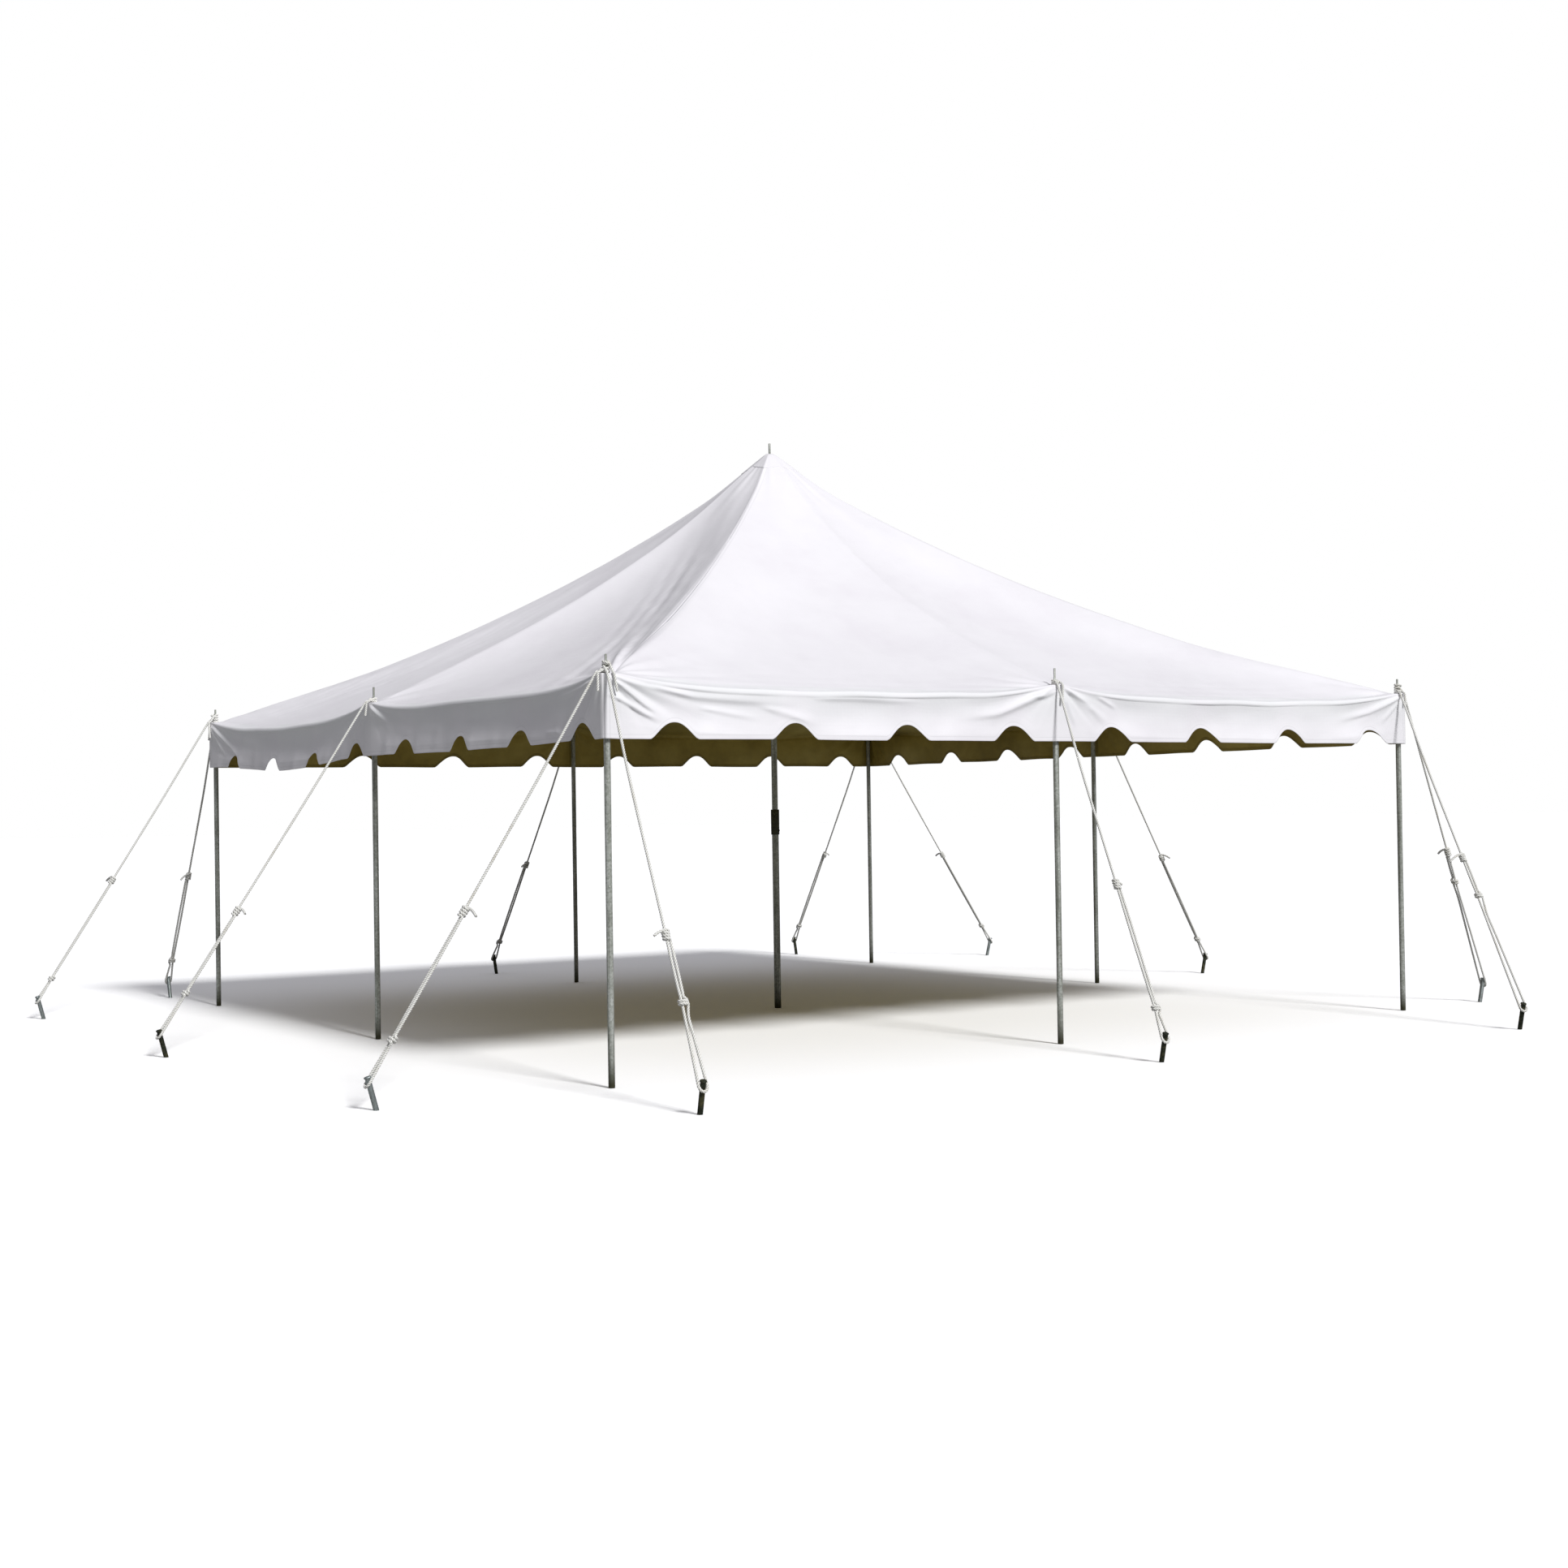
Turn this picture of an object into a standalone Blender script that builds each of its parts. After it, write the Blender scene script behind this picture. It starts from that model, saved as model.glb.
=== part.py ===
"""Marquee tent: a square white pole tent, 20 ft a side, on eight side poles and a two-piece centre pole.

Metres, +Z up. The origin is on the ground at the foot of the centre pole. The front side faces -Y,
the right side +X, the back +Y and the left side -X. Twelve guy ropes run from the pins on the side
poles, over the edge of the canopy, to steel stakes that are cut off where they enter the ground.
"""

import math

import bmesh
import bpy
from mathutils import Matrix, Vector

# Set-out of the poles
TENT_WIDTH = 6.096
EAVE_HEIGHT = 2.134
PEAK_HEIGHT = 3.962

# Poles: steel tubes with closed ends, and a steel pin driven into the top of each
SIDE_POLE_RADIUS = 0.0175
SIDE_PIN_RADIUS = 0.0065
SIDE_PIN_LENGTH = 0.105
CENTRE_LOWER_RADIUS = 0.024
CENTRE_UPPER_RADIUS = 0.021
CENTRE_PIN_RADIUS = 0.008
CENTRE_PIN_LENGTH = 0.085
POLE_JOINT_HEIGHT = 1.330
SLEEVE_WALL = 0.0055
SLEEVE_LENGTH = 0.180
EDGE_BREAK = 0.0015

# Canopy: the eave hangs, bows in and rolls over between its poles, the roof sags from the peak to the
# eave, and each panel dips between the ridges that the poles pull up
FABRIC = 0.004
POLE_CLEARANCE = 0.0205
SEAT_MARGIN = 0.006
PIN_HOLE_CLEARANCE = 0.0035
CROWN_MARGIN = 0.009
CROWN_PATCH_SIDE = 0.300
CROWN_PATCH_THICKNESS = 0.002
EAVE_SAG = 0.062
EAVE_BOW = 0.025
EAVE_FLAT = 0.045
EAVE_ROLL = 0.012
EAVE_SHARPNESS = 4
ROOF_SAG = 0.235
ROOF_SAG_LEAN = 0.45
PANEL_DIP = 0.040
BAY_COLUMNS = 6
ROOF_ROWS = 8

# Valance
VALANCE_DROP = 0.334
NOTCHES = 8
NOTCH_HEIGHT = 0.090
NOTCH_WIDTH = 0.340
NOTCH_FLARE = 0.165
NOTCH_SHARES = (0.0, 0.25, 0.5, 0.75, 1.0)
NOTCH_SHIFTS = {"front": 0.045, "right": -0.08, "back": -0.06, "left": 0.15}
CLOSEST_STATIONS = 0.004

# Guy ropes: each is tied on its pin, runs down and round its stake, and comes back up to a hitch
ROPE_RADIUS = 0.0055
ROPE_CLEARANCE = 0.0003
ROPE_BEVEL_STEPS = 2
PIN_TURN = math.radians(265)
PIN_TURN_STEPS = 7
STAKE_TURN_STEPS = 6
EAVE_TURN_STEPS = 3
LOOP_LENGTH = 0.170
HITCH_SHARE = 0.57
HITCH_LENGTH = 0.060
LOOP_KNOT_LENGTH = 0.032
KNOT_WRAP = 0.005
KNOT_STEPS = 8

# Stakes
STAKE_RADIUS = 0.014
STAKE_LENGTH = 0.172
STAKE_NECK = 0.036
STAKE_LEAN = math.radians(15)
STAKE_HEAD_LIP = 0.0045
STAKE_HEAD_LENGTH = 0.012
STAKE_HEAD_BREAK = 0.0035

# Touching pieces keep this much air between them
GAP = 0.0003
MERGE = 0.00001
ROUND_STEPS = 16
SMOOTH_ANGLE = math.radians(35)

# The rows of the roof that its patch lies on: the hole's rim, the crown's edge and the patch's own
CROWN_PATCH_ROWS = 3

# Worked out from the sizes above
HALF = TENT_WIDTH / 2
EDGE_MARGIN = SIDE_POLE_RADIUS + POLE_CLEARANCE + FABRIC
EDGE = HALF + EDGE_MARGIN
EAVE_UNDERSIDE = EAVE_HEIGHT + GAP
PIN_HOLE_RADIUS = SIDE_PIN_RADIUS + PIN_HOLE_CLEARANCE
CENTRE_HOLE_RADIUS = CENTRE_PIN_RADIUS + PIN_HOLE_CLEARANCE
CROWN_RADIUS = CENTRE_UPPER_RADIUS + CROWN_MARGIN
CROWN_UNDERSIDE = PEAK_HEIGHT + GAP
HIP_GAP = GAP / math.sqrt(2)

SIDES = {"front": 0, "right": 90, "back": 180, "left": 270}

POLES = {
    "front_left": (-HALF, -HALF),
    "front_middle": (0, -HALF),
    "front_right": (HALF, -HALF),
    "right_middle": (HALF, 0),
    "back_right": (HALF, HALF),
    "back_middle": (0, HALF),
    "back_left": (-HALF, HALF),
    "left_middle": (-HALF, 0),
}

# Each rope: its name, its pole, the side it leaves over, its turn on the pin, and where its stake
# enters the ground, measured from the foot of the pole
ROPES = (
    ("front_left_1", "front_left", "left", 0, (-1.28, 0.03)),
    ("front_left_2", "front_left", "front", 1, (-0.14, -1.10)),
    ("front_middle", "front_middle", "front", 0, (-0.17, -1.03)),
    ("front_right_1", "front_right", "front", 0, (-0.42, -1.25)),
    ("front_right_2", "front_right", "right", 1, (0.85, 0.04)),
    ("right_middle", "right_middle", "right", 0, (1.28, 0.12)),
    ("back_right_1", "back_right", "right", 0, (1.36, 0.00)),
    ("back_right_2", "back_right", "back", 1, (0.15, 1.45)),
    ("back_middle", "back_middle", "back", 0, (-0.08, 1.35)),
    ("back_left_1", "back_left", "back", 0, (-0.06, 0.98)),
    ("back_left_2", "back_left", "left", 1, (-1.32, -0.12)),
    ("left_middle", "left_middle", "left", 0, (-1.38, -0.08)),
)


def clear_scene():
    for obj in list(bpy.data.objects):
        bpy.data.objects.remove(obj)


def new_collection(name):
    collection = bpy.data.collections.new(name)
    bpy.context.scene.collection.children.link(collection)
    return collection


def new_material(name, colour, roughness, metallic=0.0):
    material = bpy.data.materials.new(name)
    material.use_nodes = True
    shader = material.node_tree.nodes["Principled BSDF"]
    shader.inputs["Base Color"].default_value = (*colour, 1.0)
    shader.inputs["Roughness"].default_value = roughness
    shader.inputs["Metallic"].default_value = metallic
    return material


def add_object(name, mesh, collection, material=None):
    obj = bpy.data.objects.new(name, mesh)
    if material:
        mesh.materials.append(material)
    collection.objects.link(obj)
    return obj


def face_outwards(bm):
    bmesh.ops.recalc_face_normals(bm, faces=bm.faces)
    if bm.calc_volume(signed=True) < 0:
        bmesh.ops.reverse_faces(bm, faces=bm.faces)


def mesh_from(bm, name):
    face_outwards(bm)
    mesh = bpy.data.meshes.new(name)
    bm.to_mesh(mesh)
    bm.free()
    mesh.shade_smooth()
    mesh.set_sharp_from_angle(angle=SMOOTH_ANGLE)
    return mesh


def bake(obj):
    """Applies the object's modifiers to its mesh."""
    graph = bpy.context.evaluated_depsgraph_get()
    graph.update()
    mesh = bpy.data.meshes.new_from_object(obj.evaluated_get(graph))
    obj.modifiers.clear()
    obj.data = mesh


def turned(name, profile, collection, material):
    """A solid turned about +Z from (radius, height) points, which end on the axis or close on themselves."""
    bm = bmesh.new()
    points = [bm.verts.new((radius, 0, height)) for radius, height in profile]
    for first, second in zip(points, points[1:]):
        bm.edges.new((first, second))
    mesh = bpy.data.meshes.new(name)
    bm.to_mesh(mesh)
    bm.free()
    obj = add_object(name, mesh, collection, material)
    screw = obj.modifiers.new("turn", "SCREW")
    screw.steps = ROUND_STEPS
    screw.render_steps = ROUND_STEPS
    screw.use_merge_vertices = True
    screw.merge_threshold = MERGE
    screw.use_smooth_shade = True
    bake(obj)
    obj.data.set_sharp_from_angle(angle=SMOOTH_ANGLE)
    return obj


def wrap_radius(bar, step):
    """Radius of the rope's centre line round a bar, in straight steps of this angle that all clear it."""
    return (bar + ROPE_RADIUS + ROPE_CLEARANCE) / math.cos(step / 2)


def side_turn(side):
    return Matrix.Rotation(math.radians(SIDES[side]), 4, "Z")


# The form of the canopy is worked out for the front side, where u runs along the eave from -1 to 1

def eave_hang(u):
    """How far the eave hangs at u, as a share of its sag: 0 beside a pole and 1 midway between two."""
    bay = HALF - 2 * EAVE_FLAT
    share = (abs(u) * EDGE - EAVE_FLAT) / bay
    share = min(max(share, 0.0), 1.0)
    return 1.0 - abs(2 * share - 1) ** EAVE_SHARPNESS


def eave_point(u):
    hang = eave_hang(u)
    return Vector((u * EDGE, -EDGE + EAVE_BOW * hang, EAVE_UNDERSIDE - EAVE_SAG * hang))


def seat_point(u):
    """A point of the underside just inside the pole heads, from where it lies level to the eave."""
    hang = eave_hang(u)
    reach = max(SIDE_POLE_RADIUS, wrap_radius(SIDE_PIN_RADIUS, PIN_TURN / PIN_TURN_STEPS) + ROPE_RADIUS)
    inner = HALF - reach - SEAT_MARGIN
    return Vector((u * inner, -inner + EAVE_BOW * hang, EAVE_UNDERSIDE - (EAVE_SAG - EAVE_ROLL) * hang))


def crown_point(u, radius):
    """A point of the underside at the peak, where it lies flat on the centre pole."""
    eave = eave_point(u)
    out = Vector((eave.x, eave.y)).normalized()
    return Vector((out.x * radius, out.y * radius, CROWN_UNDERSIDE))


def roof_point(u, run):
    """A point of the underside: run is 0 at the edge of the crown and 1 just inside the pole heads."""
    point = crown_point(u, CROWN_RADIUS).lerp(seat_point(u), run)
    arch = 4 * run * (1 - run)
    between = 4 * abs(u) * (1 - abs(u))
    point.z -= arch * (ROOF_SAG * (1 + ROOF_SAG_LEAN * (0.5 - run)) + PANEL_DIP * between)
    return point


def roof_runs():
    """The runs of the roof's rows of points: the crown, the edge of its patch, then even steps."""
    patch = (CROWN_PATCH_SIDE / 2 - CROWN_RADIUS) / (EDGE - CROWN_RADIUS)
    return [0.0, patch, *((row + 1) / ROOF_ROWS for row in range(ROOF_ROWS))]


def canopy_point(u, row):
    """A point of the underside's grid, from the rim of the centre pin's hole to the eave."""
    if row == 0:
        return crown_point(u, CENTRE_HOLE_RADIUS)
    if row > len(roof_runs()):
        return eave_point(u)
    return roof_point(u, roof_runs()[row - 1])


def raise_skin(bm, faces, offset):
    """Gives a sheet its thickness: its faces are copied, moved by offset and joined at the rim."""
    made = bmesh.ops.extrude_face_region(bm, geom=faces)["geom"]
    moved = [item for item in made if isinstance(item, bmesh.types.BMVert)]
    bmesh.ops.translate(bm, verts=moved, vec=offset)


def sheet_grid(columns, rows, place):
    """A sheet of columns by rows points, each put where place(column, row) says."""
    bm = bmesh.new()
    grid = bmesh.ops.create_grid(bm, x_segments=columns - 1, y_segments=rows - 1, size=1)
    for vert in grid["verts"]:
        column = round((vert.co.x + 1) / 2 * (columns - 1))
        row = round((vert.co.y + 1) / 2 * (rows - 1))
        vert.co = place(column, row)
    return bm


def eave_stations():
    """Where the roof's columns meet the eave: closer together beside the poles, where it rises."""
    shares = [0.5 - 0.5 * math.cos(math.pi * step / BAY_COLUMNS) for step in range(BAY_COLUMNS + 1)]
    bay = [(EAVE_FLAT + (HALF - 2 * EAVE_FLAT) * share) / EDGE for share in shares]
    right = [*bay, 1.0]
    return [*(-u for u in reversed(right)), 0.0, *right]


def make_pin_cutters(collection):
    """One upright round cutter for each pin that comes through the edge of the canopy."""
    cutters = {}
    for pole, (x, y) in POLES.items():
        bm = bmesh.new()
        bmesh.ops.create_cone(
            bm,
            cap_ends=True,
            segments=ROUND_STEPS,
            radius1=PIN_HOLE_RADIUS,
            radius2=PIN_HOLE_RADIUS,
            depth=2 * SIDE_PIN_LENGTH,
            matrix=Matrix.Translation((x, y, EAVE_UNDERSIDE)),
        )
        cutter = add_object("cut_pin_" + pole, mesh_from(bm, "cut_pin_" + pole), collection)
        cutter.hide_render = True
        cutter.display_type = "WIRE"
        cutters[pole] = cutter
    return cutters


def outward(side):
    return side_turn(side) @ Vector((0, -1, 0))


def stands_under(pole, side):
    """True for the three poles that carry this side's eave."""
    return outward(side).dot(Vector((*POLES[pole], 0))) > HALF - EDGE_MARGIN


def make_roof(side, cutters, collection, material):
    """One of the four gores that are welded together at the hips, with the holes for its three pins."""
    stations = eave_stations()

    def place(column, row):
        u = stations[column]
        point = canopy_point(u, row)
        if abs(u) == 1:
            point.x -= math.copysign(HIP_GAP, u)
        return point

    bm = sheet_grid(len(stations), len(roof_runs()) + 2, place)
    raise_skin(bm, list(bm.faces), Vector((0, 0, FABRIC)))
    bm.transform(side_turn(side))
    name = "roof_" + side
    obj = add_object(name, mesh_from(bm, name), collection, material)
    for pole, cutter in cutters.items():
        if stands_under(pole, side):
            hole = obj.modifiers.new("hole " + pole, "BOOLEAN")
            hole.object = cutter
    bake(obj)


def make_crown_patch(collection, material):
    """The square reinforcement sewn over the peak, where the centre pole's pin comes through."""
    stations = eave_stations()[:-1]
    bm = bmesh.new()
    rings = []
    for row in range(CROWN_PATCH_ROWS):
        ring = []
        for side in SIDES:
            for u in stations:
                point = canopy_point(u, row)
                point.z += FABRIC + GAP
                ring.append(bm.verts.new(side_turn(side) @ point))
        rings.append(ring)
    for inner, outer in zip(rings, rings[1:]):
        for here in range(len(inner)):
            there = (here + 1) % len(inner)
            bm.faces.new((inner[here], inner[there], outer[there], outer[here]))
    raise_skin(bm, list(bm.faces), Vector((0, 0, CROWN_PATCH_THICKNESS)))
    add_object("crown_patch", mesh_from(bm, "crown_patch"), collection, material)


def notch_rise(distance):
    """Height of the cut-out at a distance from its centre: flared at the foot and round at the top."""
    share = min(max((NOTCH_WIDTH / 2 - distance) / NOTCH_FLARE, 0.0), 1.0)
    return NOTCH_HEIGHT * (0.5 - 0.5 * math.cos(math.pi * share))


def notch_centres(side):
    pitch = 2 * EDGE / NOTCHES
    return [pitch * (number - (NOTCHES - 1) / 2) + NOTCH_SHIFTS[side] for number in range(NOTCHES)]


def valance_stations(side):
    """Distances along the valance at which its outline turns. At its right end it stops at the next one."""
    start, end = -EDGE, EDGE - FABRIC - GAP
    reaches = [NOTCH_WIDTH / 2 - NOTCH_FLARE * share for share in NOTCH_SHARES]
    cuts = [centre + sign * reach for centre in notch_centres(side) for reach in reaches for sign in (-1, 1)]
    eaves = [u * EDGE for u in eave_stations()]
    kept = [start]
    for station in sorted(cuts + eaves):
        if station - kept[-1] > CLOSEST_STATIONS and end - station > CLOSEST_STATIONS:
            kept.append(station)
    return [*kept, end]


def make_valance(side, collection, material):
    """The scalloped flap that hangs from the eave all along one side."""
    stations = valance_stations(side)
    centres = notch_centres(side)
    bottom = EAVE_UNDERSIDE - VALANCE_DROP

    def place(column, row):
        along = stations[column]
        point = eave_point(along / EDGE)
        if row == 0:
            point.z -= GAP
        else:
            nearest = min(abs(along - centre) for centre in centres)
            point.z = bottom + notch_rise(nearest)
        return point

    bm = sheet_grid(len(stations), 2, place)
    raise_skin(bm, list(bm.faces), Vector((0, FABRIC, 0)))
    bm.transform(side_turn(side))
    name = "valance_" + side
    add_object(name, mesh_from(bm, name), collection, material)


def make_side_pole(name, place, collection, material):
    """A tube with a plugged foot and head, and the pin that holds the canopy and its ropes."""
    top = EAVE_HEIGHT
    tip = top + SIDE_PIN_LENGTH
    profile = (
        (0, tip),
        (SIDE_PIN_RADIUS - EDGE_BREAK, tip),
        (SIDE_PIN_RADIUS, tip - EDGE_BREAK),
        (SIDE_PIN_RADIUS, top),
        (SIDE_POLE_RADIUS - EDGE_BREAK, top),
        (SIDE_POLE_RADIUS, top - EDGE_BREAK),
        (SIDE_POLE_RADIUS, 0),
        (0, 0),
    )
    pole = turned("side_pole_" + name, profile, collection, material)
    pole.location = (*place, 0)


def make_centre_pole(collection, steel):
    """The centre pole comes in two lengths, which meet inside a sleeve a third of the way up."""
    joint = POLE_JOINT_HEIGHT
    turned(
        "centre_pole_lower",
        (
            (0, joint),
            (CENTRE_LOWER_RADIUS - EDGE_BREAK, joint),
            (CENTRE_LOWER_RADIUS, joint - EDGE_BREAK),
            (CENTRE_LOWER_RADIUS, 0),
            (0, 0),
        ),
        collection,
        steel,
    )
    tip = PEAK_HEIGHT + CENTRE_PIN_LENGTH
    turned(
        "centre_pole_upper",
        (
            (0, tip),
            (CENTRE_PIN_RADIUS - EDGE_BREAK, tip),
            (CENTRE_PIN_RADIUS, tip - EDGE_BREAK),
            (CENTRE_PIN_RADIUS, PEAK_HEIGHT),
            (CENTRE_UPPER_RADIUS - EDGE_BREAK, PEAK_HEIGHT),
            (CENTRE_UPPER_RADIUS, PEAK_HEIGHT - EDGE_BREAK),
            (CENTRE_UPPER_RADIUS, joint + GAP),
            (0, joint + GAP),
        ),
        collection,
        steel,
    )


def make_sleeve(collection, steel):
    """A short tube round the joint: wide where it grips the lower length, narrower above."""
    top = POLE_JOINT_HEIGHT + SLEEVE_LENGTH / 2
    bottom = POLE_JOINT_HEIGHT - SLEEVE_LENGTH / 2
    step = POLE_JOINT_HEIGHT + EDGE_BREAK
    lower = CENTRE_LOWER_RADIUS + GAP
    upper = CENTRE_UPPER_RADIUS + GAP
    outer = max(lower, upper) + SLEEVE_WALL
    profile = (
        (upper, top),
        (outer - EDGE_BREAK, top),
        (outer, top - EDGE_BREAK),
        (outer, bottom + EDGE_BREAK),
        (outer - EDGE_BREAK, bottom),
        (lower, bottom),
        (lower, step),
        (upper, step),
        (upper, top),
    )
    turned("centre_pole_sleeve", profile, collection, steel)


def tube_mesh(name, route, collection):
    """A round cord along the route, as a mesh with its caps welded on."""
    curve = bpy.data.curves.new(name, "CURVE")
    curve.dimensions = "3D"
    curve.bevel_depth = ROPE_RADIUS
    curve.bevel_resolution = ROPE_BEVEL_STEPS
    curve.use_fill_caps = True
    spline = curve.splines.new("POLY")
    spline.points.add(len(route) - 1)
    for point, place in zip(spline.points, route):
        point.co = (*place, 1)
    guide = bpy.data.objects.new(name + " route", curve)
    collection.objects.link(guide)
    graph = bpy.context.evaluated_depsgraph_get()
    graph.update()
    bm = bmesh.new()
    bm.from_mesh(bpy.data.meshes.new_from_object(guide.evaluated_get(graph)))
    bmesh.ops.remove_doubles(bm, verts=bm.verts, dist=MERGE)
    mesh = mesh_from(bm, name)
    bpy.data.objects.remove(guide)
    return mesh


def stake_axis(place, foot):
    """Where a stake enters the ground, the level direction to it from its pole, and its own axis."""
    heading = Vector((*foot, 0)).normalized()
    ground = Vector((*place, 0)) + Vector((*foot, 0))
    axis = heading * math.sin(STAKE_LEAN) + Vector((0, 0, math.cos(STAKE_LEAN)))
    return ground, heading, axis


def bend_over(edge, start, end, heading):
    """Points that take the rope over an edge, from the slope it comes down to the slope it leaves at."""
    reach = ROPE_RADIUS + 2 * ROPE_CLEARANCE
    coming, going = edge - start, end - edge
    first = math.atan2(coming.z, coming.dot(heading)) + math.asin(reach / coming.length)
    last = math.atan2(going.z, going.dot(heading))
    step = (last - first) / EAVE_TURN_STEPS
    normals = [first + step * number + math.pi / 2 for number in range(EAVE_TURN_STEPS + 1)]
    lift = reach / math.cos(step / 2)
    return [edge + (heading * math.cos(angle) + Vector((0, 0, math.sin(angle)))) * lift for angle in normals]


def rope_route(pole, side, turn, foot):
    """The rope's centre line: a turn on the pin, over the eave, down to the stake, round it and back."""
    pin = Vector((*POLES[pole], 0))
    ground, heading, axis = stake_axis(POLES[pole], foot)
    up = Vector((0, 0, 1))
    across = up.cross(heading)
    step = PIN_TURN / PIN_TURN_STEPS
    lay = wrap_radius(SIDE_PIN_RADIUS, step)
    fabric_top = EAVE_UNDERSIDE + FABRIC
    level = fabric_top + ROPE_RADIUS + ROPE_CLEARANCE + turn * (2 * ROPE_RADIUS + ROPE_CLEARANCE)
    angles = [-step * number for number in range(PIN_TURN_STEPS, -1, -1)]
    turns = [heading * math.sin(angle) - across * math.cos(angle) for angle in angles]
    route = [pin + direction * lay + up * level for direction in turns]

    route.append(route[-1] + heading * (lay + 2 * ROPE_RADIUS))

    side_out = outward(side)
    crossing = (EDGE_MARGIN + lay * across.dot(side_out)) / heading.dot(side_out)
    edge = pin + heading * crossing - across * lay + up * fabric_top
    neck = ground + axis * (STAKE_LENGTH - STAKE_NECK)
    route += bend_over(edge, route[-1], neck, heading)

    fall = (neck - edge).normalized()
    apart = across * (ROPE_RADIUS + ROPE_CLEARANCE)
    hitch = edge.lerp(neck, HITCH_SHARE)
    loop_top = neck - fall * LOOP_LENGTH
    step = math.pi / STAKE_TURN_STEPS
    wide = wrap_radius(STAKE_RADIUS, step)
    deep = wide / fall.cross(axis).length
    route += [hitch - apart, loop_top - apart]
    for number in range(STAKE_TURN_STEPS + 1):
        angle = step * number - math.pi / 2
        route.append(neck + fall * deep * math.cos(angle) + across * wide * math.sin(angle))
    route += [loop_top + apart, hitch + apart]
    return route, hitch, loop_top, fall, across


def add_knot(rope, place, length, fall, across):
    """Joins an egg-shaped knot round both strands to the rope."""
    wide = 2 * ROPE_RADIUS + ROPE_CLEARANCE + KNOT_WRAP
    thick = ROPE_RADIUS + KNOT_WRAP
    frame = Matrix((fall * length / 2, across * wide, fall.cross(across) * thick)).transposed()
    along_x = Matrix.Rotation(math.pi / 2, 4, "Y")
    bm = bmesh.new()
    bmesh.ops.create_uvsphere(bm, u_segments=KNOT_STEPS, v_segments=KNOT_STEPS - 2, radius=1)
    bm.transform(Matrix.Translation(place) @ frame.to_4x4() @ along_x)
    knot = add_object("knot", mesh_from(bm, "knot"), rope.users_collection[0])
    union = rope.modifiers.new("knot", "BOOLEAN")
    union.operation = "UNION"
    union.object = knot
    bake(rope)
    bpy.data.objects.remove(knot)


def make_guy_rope(name, pole, side, turn, foot, collection, material):
    """One rope with two knots: where its end is hitched to it, and where its loop round the stake starts."""
    route, hitch, loop_top, fall, across = rope_route(pole, side, turn, foot)
    rope = add_object("guy_rope_" + name, tube_mesh(name, route, collection), collection, material)
    add_knot(rope, hitch, HITCH_LENGTH, fall, across)
    add_knot(rope, loop_top, LOOP_KNOT_LENGTH, fall, across)


def make_stake(name, pole, foot, collection, material):
    """A round steel stake with a hammered head, leaning away from the tent and cut at the ground."""
    ground, _, axis = stake_axis(POLES[pole], foot)
    top = STAKE_LENGTH
    wide = STAKE_RADIUS + STAKE_HEAD_LIP
    below = -2 * STAKE_RADIUS
    profile = (
        (0, top),
        (wide - STAKE_HEAD_BREAK, top),
        (wide, top - STAKE_HEAD_BREAK),
        (wide, top - STAKE_HEAD_LENGTH + STAKE_HEAD_LIP),
        (STAKE_RADIUS, top - STAKE_HEAD_LENGTH),
        (STAKE_RADIUS, below),
        (0, below),
    )
    stake = turned("stake_" + name, profile, collection, material)
    tilt = Vector((0, 0, 1)).rotation_difference(axis).to_matrix().to_4x4()
    bm = bmesh.new()
    bm.from_mesh(stake.data)
    bm.transform(Matrix.Translation(ground) @ tilt)
    parts = [*bm.verts, *bm.edges, *bm.faces]
    cut = bmesh.ops.bisect_plane(bm, geom=parts, plane_co=(0, 0, 0), plane_no=(0, 0, 1), clear_inner=True)
    rim = [item for item in cut["geom_cut"] if isinstance(item, bmesh.types.BMEdge)]
    bmesh.ops.contextual_create(bm, geom=rim)
    face_outwards(bm)
    bm.to_mesh(stake.data)
    bm.free()


def build():
    clear_scene()
    tent = new_collection("marquee_tent")
    cutting = new_collection("cutters")
    fabric = new_material("coated white fabric", (0.88, 0.87, 0.90), 0.45)
    galvanised = new_material("galvanised steel", (0.42, 0.43, 0.40), 0.45, 0.8)
    sleeve_steel = new_material("weathered steel", (0.16, 0.15, 0.10), 0.60, 0.6)
    bar_steel = new_material("bare steel bar", (0.40, 0.43, 0.42), 0.50, 0.7)
    cordage = new_material("white rope", (0.88, 0.87, 0.82), 0.75)

    cutters = make_pin_cutters(cutting)
    for side in SIDES:
        make_roof(side, cutters, tent, fabric)
        make_valance(side, tent, fabric)
    make_crown_patch(tent, fabric)
    for name, place in POLES.items():
        make_side_pole(name, place, tent, galvanised)
    make_centre_pole(tent, galvanised)
    make_sleeve(tent, sleeve_steel)
    for name, pole, side, turn, foot in ROPES:
        make_guy_rope(name, pole, side, turn, foot, tent, cordage)
        make_stake(name, pole, foot, tent, bar_steel)


build()
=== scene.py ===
"""Marquee tent: a square white pole tent with a scalloped valance, nine steel poles and twelve guy ropes.

Metres, +Z up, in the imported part's own frame: the origin is on the ground at the foot of the centre
pole, and the front side faces -Y. Each section makes one kind of piece, in the order of putting it up.
"""

import math

import bmesh
import bpy
import numpy as np
from mathutils import Matrix, Vector


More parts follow.
